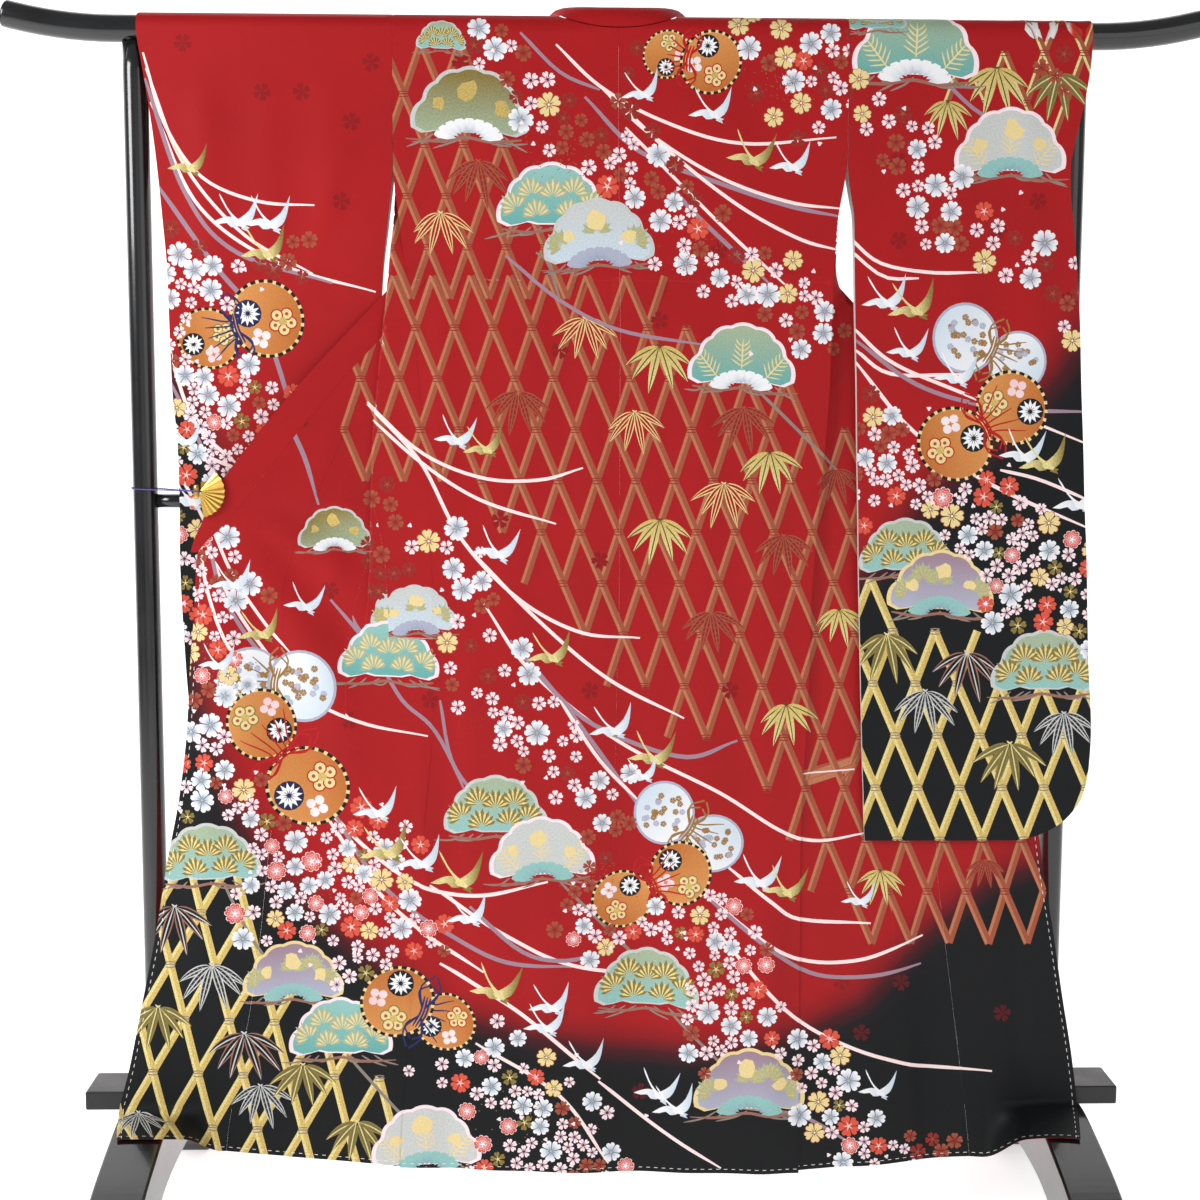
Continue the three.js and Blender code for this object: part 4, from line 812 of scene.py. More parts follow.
for x, y, s, kind in ((478, 160, 44, "netted"), (440, 212, 43, "outline"), (585, 318, 42, "outline"),
                      (660, 346, 44, "gold"), (518, 392, 42, "netted"),
                      (635, 412, 40, "outline"), (744, 408, 43, "netted"), (770, 452, 42, "gold"),
                      (724, 484, 43, "outline"), (660, 520, 43, "gold"),
                      (784, 536, 42, "netted"), (711, 612, 43, "netted"), (786, 704, 41, "gold"),
                      (840, 610, 36, "gold"), (838, 470, 34, "netted"),
                      (176, 905, 48, "open"), (214, 962, 48, "dark"), (160, 1004, 46, "khaki"),
                      (246, 1030, 52, "open"), (262, 1082, 44, "dark"),
                      (304, 1062, 46, "khaki"), (358, 1118, 46, "khaki"), (140, 1108, 38, "dark"),
                      (880, 870, 34, "gold"), (985, 860, 30, "netted")):
    put(bodyArt, bambooLeaves(kind, x), (x, y), s)
for ink, w, pts in (
        ("mauve", 4.2, [(585, 95), (640, 150), (720, 182), (790, 205), (843, 216)]),
        ("mauve", 4.2, [(675, 190), (705, 222), (770, 283)]),
        ("mauve", 3.6, [(505, 255), (560, 300), (620, 330), (706, 345)]),
        ("mauve", 3.4, [(520, 30), (560, 70), (600, 88)]),
        ("line", 3.3, [(556, 42), (600, 84), (660, 118), (740, 142), (838, 136)]),
        ("line", 3.3, [(600, 84), (650, 132), (720, 176), (790, 201), (845, 208)]),
        ("line", 3.4, [(618, 100), (672, 152), (740, 205), (800, 238), (842, 250)]),
        ("line", 3.2, [(626, 126), (680, 182), (730, 232), (792, 290)]),
        ("mauve", 4.6, [(150, 262), (210, 320), (262, 380), (300, 448), (318, 505)]),
        ("line", 3.4, [(366, 402), (420, 452), (482, 478), (540, 480), (583, 468)]),
        ("line", 3.4, [(372, 420), (420, 462), (480, 500), (556, 524)]),
        ("line", 3.6, [(366, 404), (420, 462), (462, 540), (520, 600), (580, 632), (640, 638)]),
        ("line", 3.6, [(470, 550), (540, 622), (610, 680), (684, 718)]),
        ("line", 3.6, [(484, 604), (532, 672), (620, 742), (716, 790), (800, 838), (872, 832)]),
        ("mauve", 4.2, [(510, 640), (566, 706), (640, 808)]),
        ("mauve", 4.4, [(528, 664), (590, 722), (680, 756), (737, 740)]),
        ("line", 3.6, [(560, 700), (600, 760), (640, 802)]),
        ("line", 3.8, [(728, 866), (770, 900), (800, 918), (870, 922)]),
        ("line", 3.8, [(690, 880), (750, 930), (800, 958), (860, 958), (922, 934)]),
        ("mauve", 4.2, [(700, 890), (760, 940), (812, 972), (870, 974), (920, 962)]),
        ("line", 3.8, [(716, 930), (800, 1020), (900, 1060), (990, 1068)]),
        ("line", 4.0, [(318, 800), (372, 852), (424, 886), (480, 894), (548, 880)]),
        ("mauve", 4.4, [(330, 806), (372, 872), (420, 915), (500, 958), (572, 964)]),
        ("line", 4.0, [(324, 812), (376, 888), (430, 936), (484, 970)]),
        ("line", 3.8, [(430, 884), (500, 930), (570, 962), (662, 976)]),
        ("mauve", 4.2, [(470, 905), (520, 948), (560, 958), (600, 952)]),
        ("line", 4.0, [(440, 962), (520, 1010), (600, 1076)]),
        ("line", 3.6, [(476, 1040), (560, 1092), (608, 1160)]),
        ("line", 3.6, [(598, 1078), (650, 1120), (720, 1164)]),
        ("mauve", 3.8, [(700, 1100), (790, 1110), (850, 1140)]),
        ("line", 3.4, [(203, 512), (214, 560), (246, 624), (300, 690), (360, 722), (428, 736)]),
        ("line", 3.4, [(200, 520), (206, 580), (226, 640), (250, 668)]),
        ("line", 3.2, [(208, 512), (232, 572), (264, 622), (290, 652)]),
        ("mauve", 4.0, [(206, 516), (222, 590), (258, 650), (280, 660)]),
        ("mauve", 3.8, [(330, 600), (372, 650), (402, 700), (436, 732), (470, 800)]),
        ("mauve", 3.4, [(440, 700), (452, 760), (480, 800)]),
        ("bark", 3.2, [(560, 880), (620, 940), (640, 962)]),
        ("bark", 3.0, [(670, 1010), (712, 1052), (730, 1070)]),
        ("bark", 3.2, [(225, 880), (250, 930), (270, 960)]),
        ("bark", 3.2, [(348, 1052), (400, 1110), (420, 1126)]),
        ("bark", 3.0, [(536, 252), (548, 262), (560, 300)]),
        ("bark", 3.2, [(760, 392), (800, 432), (838, 470)])):
    putLine(bodyArt, pts, ink, w)
for k, (x, y, s, kind) in enumerate((
        (468, 140, 118, "sage"), (552, 232, 112, "tealRim"), (600, 268, 112, "pearl"),
        (741, 391, 110, "sageTeal"), (334, 552, 74, "sage"), (416, 636, 84, "pearl"),
        (388, 684, 104, "tealRim"), (496, 838, 108, "teal"), (543, 880, 110, "silver"),
        (645, 1010, 110, "teal"), (748, 1112, 118, "lavender"),
        (212, 884, 106, "teal"), (294, 1000, 104, "lavender"), (342, 1058, 108, "tealRim"),
        (428, 1168, 116, "silver"), (440, 50, 50, "teal"))):
    put(bodyArt, pineCloud(kind, k), (x, y), s, (k % 3 - 1) * 2.5, 1 if k % 2 else -1)
drumPair(bodyArt, "orange", (712, 60), (668, 52), 31, 24, "cord", 1)
drumPair(bodyArt, "white", (302, 686), (250, 680), 36, 33, "cordGold", 2)
drumPair(bodyArt, "orange", (308, 786), (262, 724), 42, 36, "cord", 3)
drumPair(bodyArt, "orange", (398, 1000), (446, 1020), 38, 31, "cordBlue", 4)
drumPair(bodyArt, "white", (664, 812), (712, 842), 32, 31, "cordGold", 5)
drumPair(bodyArt, "orange", (622, 898), (680, 872), 31, 33, "cord", 7)
taken = [(664, 812, 34), (712, 842, 33), (622, 898, 30), (680, 872, 34), (712, 60, 33), (398, 1000, 36),
         (446, 1020, 30), (308, 786, 41), (262, 724, 36), (302, 686, 36),
         (468, 112, 46), (552, 200, 44), (600, 240, 46), (741, 366, 44), (496, 812, 44), (543, 856, 46),
         (645, 984, 46), (748, 1086, 48), (212, 856, 44), (294, 974, 42),
         (342, 1030, 44), (428, 1140, 48), (388, 656, 42), (416, 610, 36), (334, 532, 32), (520, 236, 30),
         (630, 236, 28), (384, 1030, 20)]
for path, wide, count, name in (
        ([(488, 44), (530, 100), (586, 150)], 17, 22, "red"),
        ([(586, 150), (640, 190), (690, 232)], 17, 24, "red"),
        ([(690, 232), (748, 284), (790, 300), (824, 330)], 17, 30, "red"),
        ([(740, 48), (790, 60), (832, 100)], 17, 24, "red"), ([(640, 60), (600, 130)], 22, 6, "faint"),
        ([(806, 70), (836, 40)], 12, 8, "red"),
        ([(384, 486), (372, 560), (410, 580)], 16, 10, "faint"), ([(440, 540), (470, 600)], 14, 10, "red"),
        ([(462, 640), (500, 700), (540, 740)], 24, 26, "red"),
        ([(540, 740), (590, 800)], 24, 14, "red"), ([(560, 900), (600, 850)], 18, 10, "faint"),
        ([(590, 920), (640, 942), (700, 910)], 16, 30, "dense"),
        ([(700, 920), (716, 966), (724, 1000)], 20, 28, "dense"),
        ([(230, 560), (226, 640), (206, 720)], 16, 24, "dense"),
        ([(186, 600), (190, 700), (186, 800)], 12, 24, "dense"),
        ([(206, 720), (222, 800), (260, 850), (300, 900)], 22, 46, "dense"),
        ([(300, 860), (360, 900), (392, 940)], 20, 40, "dense"),
        ([(250, 900), (300, 950), (350, 980)], 15, 22, "dense"),
        ([(440, 1050), (500, 1080), (560, 1140)], 24, 46, "dense"),
        ([(520, 1140), (600, 1164)], 12, 16, "dense"), ([(700, 1010), (770, 1060), (820, 1080)], 18, 26,
            "dense"),
        ([(820, 1080), (850, 1130), (880, 1168)], 15, 20, "dense"),
        ([(196, 540), (204, 600)], 8, 10, "dense"), ([(900, 1150), (960, 1140)], 10, 5, "faint"),
        ([(486, 1160), (440, 1172)], 8, 6, "dense"), ([(386, 860), (330, 850)], 14, 12, "dense")):
    scatter(bodyArt, path, wide, count, name, taken)
for at, wide, count, ink in (((560, 160), 18, 70, "copper"), ((700, 250), 18, 60, "copper"),
                             ((600, 880), 16, 60, "copper"), ((480, 720), 20, 60, "copperDim"),
                             ((330, 900), 20, 60, "copper"), ((780, 80), 16, 60, "copper"),
                             ((520, 1110), 20, 60, "goldDark"), ((220, 660), 16, 60, "copper")):
    sprinkle(bodyArt, at, wide, count, ink)
for x, y, s, kind, flip in (
        (642, 92, 38, "white", 1), (712, 112, 42, "white", 1), (752, 158, 46, "gold", 1),
        (792, 165, 40, "white", 1), (455, 440, 40, "white", 1), (484, 449, 40, "gold", 1),
        (496, 553, 44, "white", 1), (550, 657, 44, "gold", 1), (612, 730, 44, "white", 1),
        (652, 758, 46, "gold", 1), (642, 776, 34, "white", 1),
        (376, 812, 44, "white", 1), (386, 852, 50, "gold", 1), (420, 862, 46, "white", 1),
        (458, 880, 52, "gold", 1), (468, 917, 42, "white", 1), (496, 990, 50, "gold", 1),
        (550, 1004, 42, "white", 1), (545, 1024, 42, "white", 1), (584, 1060, 42, "white", 1),
        (656, 1092, 44, "white", 1), (674, 1106, 44, "white", 1),
        (757, 880, 46, "white", 1), (784, 890, 44, "gold", 1), (232, 584, 40, "white", 1),
        (304, 606, 38, "white", 1), (260, 634, 42, "gold", 1), (184, 512, 34, "white", 1),
        (218, 664, 36, "white", 1), (876, 1088, 38, "white", 1), (858, 900, 34, "white", 1)):
    put(bodyArt, crane(kind), (x, y), s * 0.95, (x * 7 % 16) - 8, flip)

# left sleeve
for x, y in ((300, 90), (350, 120), (260, 90), (340, 200), (370, 60), (180, 40)):
    put(leftArt, blossom("tone"), (x, y), 9, x % 72)
for ink, w, pts in (("line", 3.2, [(140, 50), (162, 122), (200, 176), (256, 200), (313, 204)]),
                    ("line", 3.2, [(143, 66), (180, 160), (240, 232), (311, 273)]),
                    ("line", 3.4, [(148, 100), (196, 204), (276, 262), (374, 291)]),
                    ("mauve", 4.2, [(142, 76), (182, 190), (232, 250), (330, 282)]),
                    ("mauve", 4.6, [(152, 180), (210, 262), (262, 330), (300, 448)]),
                    ("line", 3.6, [(160, 330), (190, 420), (240, 470)]),
                    ("line", 3.6, [(160, 420), (190, 450), (260, 480)]),
                    ("line", 3.4, [(160, 450), (200, 520), (250, 640)]),
                    ("mauve", 4.0, [(166, 380), (210, 470), (260, 560)]),
                    ("line", 3.4, [(300, 470), (380, 560), (400, 700)])):
    putLine(leftArt, pts, ink, w)
drumPair(leftArt, "orange", (264, 318), (205, 338), 38, 31, "cordBlue", 9)
leftTaken = [(264, 318, 40), (210, 338, 34)]
for path, wide, count, name in (([(168, 262), (196, 300), (206, 390)], 15, 34, "red"),
                                ([(206, 390), (236, 420), (250, 470)], 18, 40, "dense"),
                                ([(180, 420), (190, 620)], 10, 24, "dense"),
                                ([(260, 520), (320, 640), (360, 760)], 24, 46, "dense"),
                                ([(240, 280), (300, 260)], 12, 6, "faint")):
    scatter(leftArt, path, wide, count, name, leftTaken)
put(leftArt, pineCloud("teal", 31), (290, 760), 100)
put(leftArt, pineCloud("lavender", 32), (360, 800), 96)
for x, y, s, kind in ((186, 166, 36, "gold"), (234, 220, 42, "white"), (266, 222, 42, "white"),
    (262, 252, 42, "gold"), (186, 502, 40, "white"), (182, 442, 30, "white"), (330, 500, 40, "gold")):
    put(leftArt, crane(kind), (x, y), s, (x * 7 % 16) - 8)

# right sleeve
lattice(rightArt, [(930, 40), (1100, 15), (1100, 120), (1066, 130), (1036, 128), (1000, 118), (962, 96)],
    (1008, 50), (21, 51), (-19, 51), width=7.0, strip="copper", light="goldPale", tie="copperDim")
lattice(rightArt, [(850, 590), (900, 610), (960, 640), (1000, 700), (1100, 706), (1110, 860), (850, 860)],
    (872, 682), (22, 51.8), (-20, 51.8), **onDark)
for x, y in ((900, 160), (1040, 200), (1000, 230), (900, 240), (1060, 90), (1070, 300), (880, 420)):
    put(rightArt, blossom("tone"), (x, y), 9, x % 72)
for x, y, s, kind in ((1000, 66, 46, "gold"), (1062, 72, 48, "khaki"), (950, 100, 34, "gold"),
                      (886, 634, 46, "khaki"), (966, 652, 48, "open"), (924, 690, 46, "dark"),
                      (1008, 742, 50, "khaki"),
                      (1062, 712, 46, "dark")):
    put(rightArt, bambooLeaves(kind, x), (x, y), s)
for ink, w, pts in (("line", 3.4, [(846, 232), (880, 262), (930, 272), (983, 272)]),
                    ("line", 3.2, [(846, 245), (884, 276), (920, 278)]),
                    ("line", 3.6, [(852, 326), (892, 362), (960, 392), (1092, 446)]),
                    ("line", 3.6, [(856, 350), (892, 374), (966, 374)]),
                    ("line", 3.8, [(856, 362), (912, 430), (990, 484), (1092, 530)]),
                    ("mauve", 4.2, [(856, 340), (920, 386), (1000, 408), (1092, 412)]),
                    ("line", 3.4, [(1000, 470), (1040, 480), (1092, 502)]),
                    ("mauve", 3.8, [(930, 60), (980, 110), (1030, 128)])):
    putLine(rightArt, pts, ink, w)
for k, (x, y, s, kind) in enumerate(((917, 82, 128, "sageTeal"), (1012, 178, 114, "silver"),
    (905, 576, 96, "teal"), (938, 616, 110, "lavender"), (1042, 696, 112, "teal"), (880, 30, 60, "teal"))):
    put(rightArt, pineCloud(kind, 40 + k), (x, y), s, (k % 3 - 1) * 2, 1 if k % 2 else -1)
drumPair(rightArt, "white", (966, 338), (1018, 362), 34, 30, "cordGold", 12)
drumPair(rightArt, "orange", (955, 444), (1012, 408), 38, 37, "cord", 13)
rightTaken = [(966, 338, 35), (1018, 362, 31), (955, 444, 39), (1012, 408, 38), (905, 548, 40),
    (938, 590, 46), (1042, 670, 46), (917, 58, 50), (1012, 154, 46)]
for path, wide, count, name in (([(880, 90), (906, 120), (916, 160)], 12, 16, "red"),
                                ([(926, 180), (950, 230), (996, 250)], 16, 18, "red"),
                                ([(1020, 250), (1060, 270), (1072, 320)], 16, 14, "red"),
                                ([(868, 400), (880, 450), (900, 500)], 14, 26, "red"),
                                ([(900, 500), (960, 510), (1000, 540)], 18, 36, "dense"),
                                ([(1000, 540), (1040, 570), (1080, 600)], 17, 36, "dense"),
                                ([(1000, 600), (1070, 630)], 15, 16, "dense"),
                                ([(1064, 90), (1060, 60)], 10, 4, "faint")):
    scatter(rightArt, path, wide, count, name, rightTaken)
for x, y, s, kind in ((886, 302, 42, "white"), (914, 310, 46, "gold"), (908, 352, 38, "white"),
    (956, 378, 40, "white"), (1022, 456, 42, "white"), (1044, 464, 46, "gold"), (1076, 504, 44, "white")):
    put(rightArt, crane(kind), (x, y), s, (x * 7 % 16) - 8)
print("design drawn:", len(bodyArt), len(leftArt), len(rightArt), "outlines")

# the ground turns from red through wine to blue-black inside these zones, in the frame's units
duskZones = {
    "body": ([(40, 600), (186, 620), (206, 720), (232, 800), (280, 880), (330, 925), (386, 968), (440, 1010),
        (520, 1030), (620, 1046), (720, 1050), (800, 1030), (860, 1000), (900, 958),
              (944, 916), (990, 880), (1050, 858), (1160, 850), (1160, 1400), (-100, 1400)], 30),
    "left": ([(60, 340), (168, 372), (196, 420), (220, 470), (260, 540), (300, 620), (420, 690), (440, 1400),
        (-100, 1400)], 26),
    "right": ([(1300, 300), (1092, 322), (1060, 372), (1010, 430), (960, 470), (920, 500), (892, 556),
        (800, 610), (800, 1400), (1300, 1400)], 34)}


def segmentGap(points, line):
    # distance from many points to an open line, in chunks
    a, b = line[:-1], line[1:]
    run = b - a
    size = np.maximum((run ** 2).sum(1), 1e-12)
    out = np.empty(len(points))
    chunk = 4000
    for i in range(0, len(points), chunk):
        p = points[i:i + chunk, None, :] - a[None]
        t = np.clip((p * run).sum(2) / size, 0, 1)
        out[i:i + chunk] = np.sqrt(((p - t[..., None] * run) ** 2).sum(2).min(1))
    return out


def dusk(zone, x, v):
    line, soft = duskZones[zone]
    poly = spot(line)
    closed = np.vstack([poly, poly[:1]])
    pts = np.stack([x, v], 1)
    gap = segmentGap(pts, closed) * np.where(within(poly, pts), 1, -1)
    return np.clip(0.5 + gap / (2 * soft * view["unit"]), 0, 1)


# cloth pieces
def dense(line, step):
    # even samples along a line
    line = np.asarray(line, float)
    run = np.concatenate([[0], np.cumsum(np.linalg.norm(np.diff(line, axis=0), axis=1))])
    n = max(2, int(round(run[-1] / step)) + 1)
    s = np.linspace(0, run[-1], n)
    return np.stack([np.interp(s, run, line[:, 0]), np.interp(s, run, line[:, 1])], 1)


def band(poly, low, high, step=12.5):
    # the part of an outline between two heights, its cut edges sampled at whole steps
    for level, way in ((low, 1), (high, -1)):
        d = (poly[:, 1] - level) * way
        cutLine = []
        for k in range(len(poly)):
            m = (k + 1) % len(poly)
            if d[k] >= 0:
                cutLine.append(poly[k])
            if d[k] * d[m] < 0:
                cutLine.append(poly[k] + (poly[m] - poly[k]) * d[k] / (d[k] - d[m]))
        poly = np.array(cutLine)
    whole = []
    for k in range(len(poly)):
        p, q = poly[k], poly[(k + 1) % len(poly)]
        whole.append(p)
        if abs(p[1] - q[1]) < 1e-9 and (abs(p[1] - low) < 1e-9 or abs(p[1] - high) < 1e-9):
            marks = np.arange(math.ceil(min(p[0], q[0]) / step) * step, max(p[0], q[0]), step)
            marks = marks[(np.abs(marks - p[0]) > 1) & (np.abs(marks - q[0]) > 1)]
            whole += [np.array((x, p[1])) for x in (marks if q[0] > p[0] else marks[::-1])]
    return np.array(whole)


def triangulate(border, points, outlines):
    # triangles that follow the border and every outline; each knows the topmost outline over it.
    # The panel is worked in bands of height, which meet in the same points
    lowest, highest = border[:, 1].min(), border[:, 1].max()
    count = max(1, int((highest - lowest) / 90))
    inner = np.linspace(lowest + 60, highest - 60, count) if count > 1 else []
    levels = [lowest - 1, *inner, highest + 1]
    spans = np.array([(o[:, 1].min(), o[:, 1].max()) for o in outlines]).reshape(-1, 2)
    flats, triples, tops, start = [], [], [], 0
    for lo, hi in zip(levels[:-1], levels[1:]):
        edge = band(border, lo, hi)
        inside = points[(points[:, 1] > lo + 1) & (points[:, 1] < hi - 1)]
        verts = [Vector(p) for p in np.vstack([edge, inside])]
        lines = []
        here = np.nonzero((spans[:, 1] > lo) & (spans[:, 0] < hi))[0]
        for k in here:
            first, size = len(verts), len(outlines[k])
            verts += [Vector(p) for p in outlines[k]]
            lines += [(first + n, first + (n + 1) % size) for n in range(size)]
        out = delaunay_2d_cdt(verts, lines, [list(range(len(edge)))], 0, 1e-4, True)
        flat = np.array([(v[0], v[1]) for v in out[0]])
        tris = np.array([f for f, cover in zip(out[2], out[5]) if 0 in cover])
        middle = flat[tris].mean(1)
        top = np.zeros(len(tris), int)
        for k in here:   # even-odd rule at the middle of each triangle near the outline
            lowest2, highest2 = outlines[k].min(0), outlines[k].max(0)
            near = np.nonzero(((middle > lowest2) & (middle < highest2)).all(1))[0]
            if len(near):
                top[near[within(outlines[k], middle[near])]] = k + 1
        flats.append(flat)
        triples.append(tris + start)
        tops.append(top)
        start += len(flats[-1])
    flat, tris, top = np.vstack(flats), np.vstack(triples), np.concatenate(tops).astype(int)
    _, first, same = np.unique(np.round(flat * 500).astype(np.int64), axis=0, return_index=True,
        return_inverse=True)
    flat, tris = flat[first], same.reshape(-1)[tris]
    a, b, c = (flat[tris[:, k]] for k in range(3))
    area = (b[:, 0] - a[:, 0]) * (c[:, 1] - a[:, 1]) - (b[:, 1] - a[:, 1]) * (c[:, 0] - a[:, 0])
    tris[area < 0] = tris[area < 0][:, ::-1]
    good = np.abs(area) > 1e-7
    tris, top = tris[good], top[good]
    used, renamed = np.unique(tris, return_inverse=True)
    return flat[used], renamed.reshape(tris.shape), top


def panelMesh(panel, parts):
    # outer face with the print, inner face, and a rim along the open edges
    lines = panel["border"]
    border = np.vstack([dense(line, 9.0)[:-1] for line, *_ in lines])
    flags = np.concatenate([[k] * (len(dense(line, 9.0)) - 1) for k, (line, *_) in enumerate(lines)])
    seg = np.roll(border, -1, 0) - border
    nrm = np.stack([-seg[:, 1], seg[:, 0]], 1) / np.linalg.norm(seg, axis=1)[:, None]
    inward = nrm + np.roll(nrm, 1, 0)
    inward /= np.linalg.norm(inward, axis=1)[:, None]
    openLines = [dense(line, 9.0) for line, isOpen, *_ in lines if isOpen]

    def edgeGap(p):
        return np.min([segmentGap(p, line) for line in openLines], axis=0)
    inset = np.vstack([border + inward * h for h in (0.8, 2.4)])
    inset = inset[within(border, inset)]
    whole = np.vstack([border, border[:1]])
    inset = inset[segmentGap(inset, whole) > 0.5]
    low, high = border.min(0), border.max(0)
    step = cloth["step"]
    ax = np.arange(low[0] + step / 2, high[0], step)
    av = np.arange(low[1] + step / 2, high[1], step * 1.15)
    grid = np.stack(np.meshgrid(ax, av, indexing="ij"), -1).reshape(-1, 2)
    if "folds" in panel:
        rows = np.arange(low[1] + 3, high[1], step * 0.8)
        grid = np.vstack([grid] + [np.stack([c, rows], 1) for c in panel["folds"](rows)])
    if "rows" in panel:
        grid = np.vstack([grid] + [np.stack([ax, np.full(len(ax), r)], 1) for r in panel["rows"]])
    grid = grid[within(border, grid)]
    grid = grid[segmentGap(grid, whole) > 4.2]
    points = np.vstack([inset, grid])
    outlines, looks = [], []
    for q, k1, k2, g0, g1 in panel["art"]:
        if (q.max(0) > low).all() and (q.min(0) < high).all():
            # no two corners in exactly one place
            outlines.append(q + 0.02 * np.sin(q[:, ::-1] * 917 + len(outlines)))
            looks.append((k1, k2, g0, g1))
    for line, isOpen, *opts in lines:   # basting stitches just inside the edge
        if "stitch" in opts:
            s = dense(line, 11.5)
            mid = (s[1:] + s[:-1]) / 2
            run = (s[1:] - s[:-1]) / np.linalg.norm(s[1:] - s[:-1], axis=1)[:, None]
            side = np.stack([-run[:, 1], run[:, 0]], 1)
            k = inkNames.index("thread")
            for m, r, n in zip(mid + side * 6.5, run, side):
                outlines.append(np.array([m - r * 2.6 - n * 0.4, m + r * 2.6 - n * 0.4,
                    m + r * 2.6 + n * 0.4, m - r * 2.6 + n * 0.4]))
                looks.append((k, k, m, m + r))
    turn = panel["turn"]

    def surface(p, lift):
        # point, and normal from the cross product of the two central differences
        f, e = panel["point"], 0.8
        a, v = p[:, 0], p[:, 1]
        n = np.cross(f(a + e, v) - f(a - e, v), f(a, v + e) - f(a, v - e)) * turn
        n /= np.linalg.norm(n, axis=1)[:, None] + 1e-12
        return f(a, v) + n * lift[:, None], n

    def wall(p):
        near = np.clip(edgeGap(p) / 2.6, 0, 1)
        return cloth["edge"] + (cloth["wall"] / 2 - cloth["edge"]) * np.sqrt(np.clip(1 - (1 - near) ** 2, 0,
            1))
    flat, tris, top = triangulate(border, points, outlines)
    pos, n = surface(flat, wall(flat))
    looks = [(0, 0, np.zeros(2), np.ones(2))] + looks
    k1, k2 = np.array([q[0] for q in looks])[top], np.array([q[1] for q in looks])[top]
    g0, g1 = np.array([q[2] for q in looks])[top], np.array([q[3] for q in looks])[top]
    run = g1 - g0
    f = np.clip(((flat[tris] - g0[:, None]) * run[:, None]).sum(2) / np.maximum((run ** 2).sum(1), 1e-9)[:,
        None], 0, 1)
    colour = mix(inkColour[k1][:, None], inkColour[k2][:, None], f[..., None])
    rgba = np.concatenate([colour, np.broadcast_to(inkCover[k2][:, None, None], colour.shape[:2] + (1,))], 2)
    foil = np.broadcast_to(inkFoil[k2][:, None], f.shape)
    shade = panel["shade"](pos[:, 0], pos[:, 2])
    parts.append((pos, n, tris if turn > 0 else tris[:, ::-1], rgba if turn > 0 else rgba[:, ::-1], foil,
        shade, flat, 0))

    flat2, tris2, _ = triangulate(border, points, [])
    pos2, n2 = surface(flat2, -wall(flat2))
    rgba2 = np.zeros(tris2.shape + (4,))
    parts.append((pos2, -n2, tris2[:, ::-1] if turn > 0 else tris2, rgba2, np.zeros(tris2.shape),
                  panel["facing"](flat2[:, 0], flat2[:, 1], pos2[:, 2]), flat2, panel.get("inner", 1)))

    size = len(border)
    outer, _ = surface(border, np.full(size, cloth["edge"]))
    inner, _ = surface(border, np.full(size, -cloth["edge"]))
    into, _ = surface(border + inward * 0.6, np.zeros(size))
    mid, _ = surface(border, np.zeros(size))
    nr = mid - into
    nr /= np.linalg.norm(nr, axis=1)[:, None] + 1e-12
    i = np.arange(size)
    j = (i + 1) % size
    openSeg = np.array([bool(lines[k][1]) for k in flags])
    i, j = i[openSeg], j[openSeg]
    quads = np.vstack([np.stack([i, i + size, j + size], 1), np.stack([i, j + size, j], 1)])
    if turn < 0:
        quads = quads[:, ::-1]
    rimInk = np.array([inkNames.index(lines[k][2] if len(lines[k]) > 2 and lines[k][2] in inks else "ground")
                       for k in flags])[openSeg]
    rimInk = np.concatenate([rimInk, rimInk])
    rgba3 = np.concatenate([inkColour[rimInk], inkCover[rimInk][:, None]], 1)[:, None].repeat(3, 1)
    both = np.vstack([outer, inner])
    parts.append((both, np.vstack([nr, nr]), quads, rgba3, np.zeros(quads.shape),
        panel["shade"](both[:, 0], both[:, 2]), np.vstack([border, border]), 0))


def meshFrom(name, parts, materials):
    # joins the parts into one mesh, with its attributes, and sets the worked-out normals
    start, verts, norms, tris, rgba, foil, shade, uv, mat = 0, [], [], [], [], [], [], [], []
    for pos, n, t, c, fo, sh, flat, m in parts:
        verts.append(pos / 1000)
        norms.append(n)
        tris.append(t + start)
        rgba.append(c.reshape(-1, 4))
        foil.append(np.asarray(fo).reshape(-1))
        shade.append(sh)
        uv.append((flat / 1000)[t].reshape(-1, 2))
        mat.append(np.full(len(t), m))
        start += len(pos)
    verts, norms, tris = np.vstack(verts), np.vstack(norms), np.vstack(tris)
    mesh = bpy.data.meshes.new(name)
    mesh.vertices.add(len(verts))
    mesh.vertices.foreach_set("co", verts.ravel())
    mesh.loops.add(tris.size)
    mesh.loops.foreach_set("vertex_index", tris.ravel().astype(np.int32))
    mesh.polygons.add(len(tris))
    mesh.polygons.foreach_set("loop_start", np.arange(0, tris.size, 3, dtype=np.int32))
    mesh.polygons.foreach_set("material_index", np.concatenate(mat).astype(np.int32))
    mesh.polygons.foreach_set("use_smooth", np.ones(len(tris), bool))
    for m in materials:
        mesh.materials.append(m)
    mesh.uv_layers.new(name="weave").data.foreach_set("uv", np.vstack(uv).ravel())
    mesh.attributes.new("ink", "FLOAT_COLOR", "CORNER").data.foreach_set("color", np.vstack(rgba).ravel())
    mesh.attributes.new("foil", "FLOAT", "CORNER").data.foreach_set("value", np.concatenate(foil))
    mesh.attributes.new("dusk", "FLOAT", "POINT").data.foreach_set("value", np.concatenate(shade))
    mesh.update()
    mesh.normals_split_custom_set_from_vertices(norms.tolist())
    piece = bpy.data.objects.new(name, mesh)
    scene.collection.objects.link(piece)
    a, b, c = (verts[tris[:, k]] for k in range(3))
    print("made", name, len(tris), "triangles,", round(float(np.linalg.norm(np.cross(b - a, c - a),
        axis=1).sum() / 2), 3), "square metres")
    return piece


# materials
def newMaterial(name):
    m = bpy.data.materials.new(name)
    m.use_nodes = True
    tree = m.node_tree
    return m, tree, tree.nodes["Principled BSDF"]


def link(tree, a, b):
    tree.links.new(a, b)


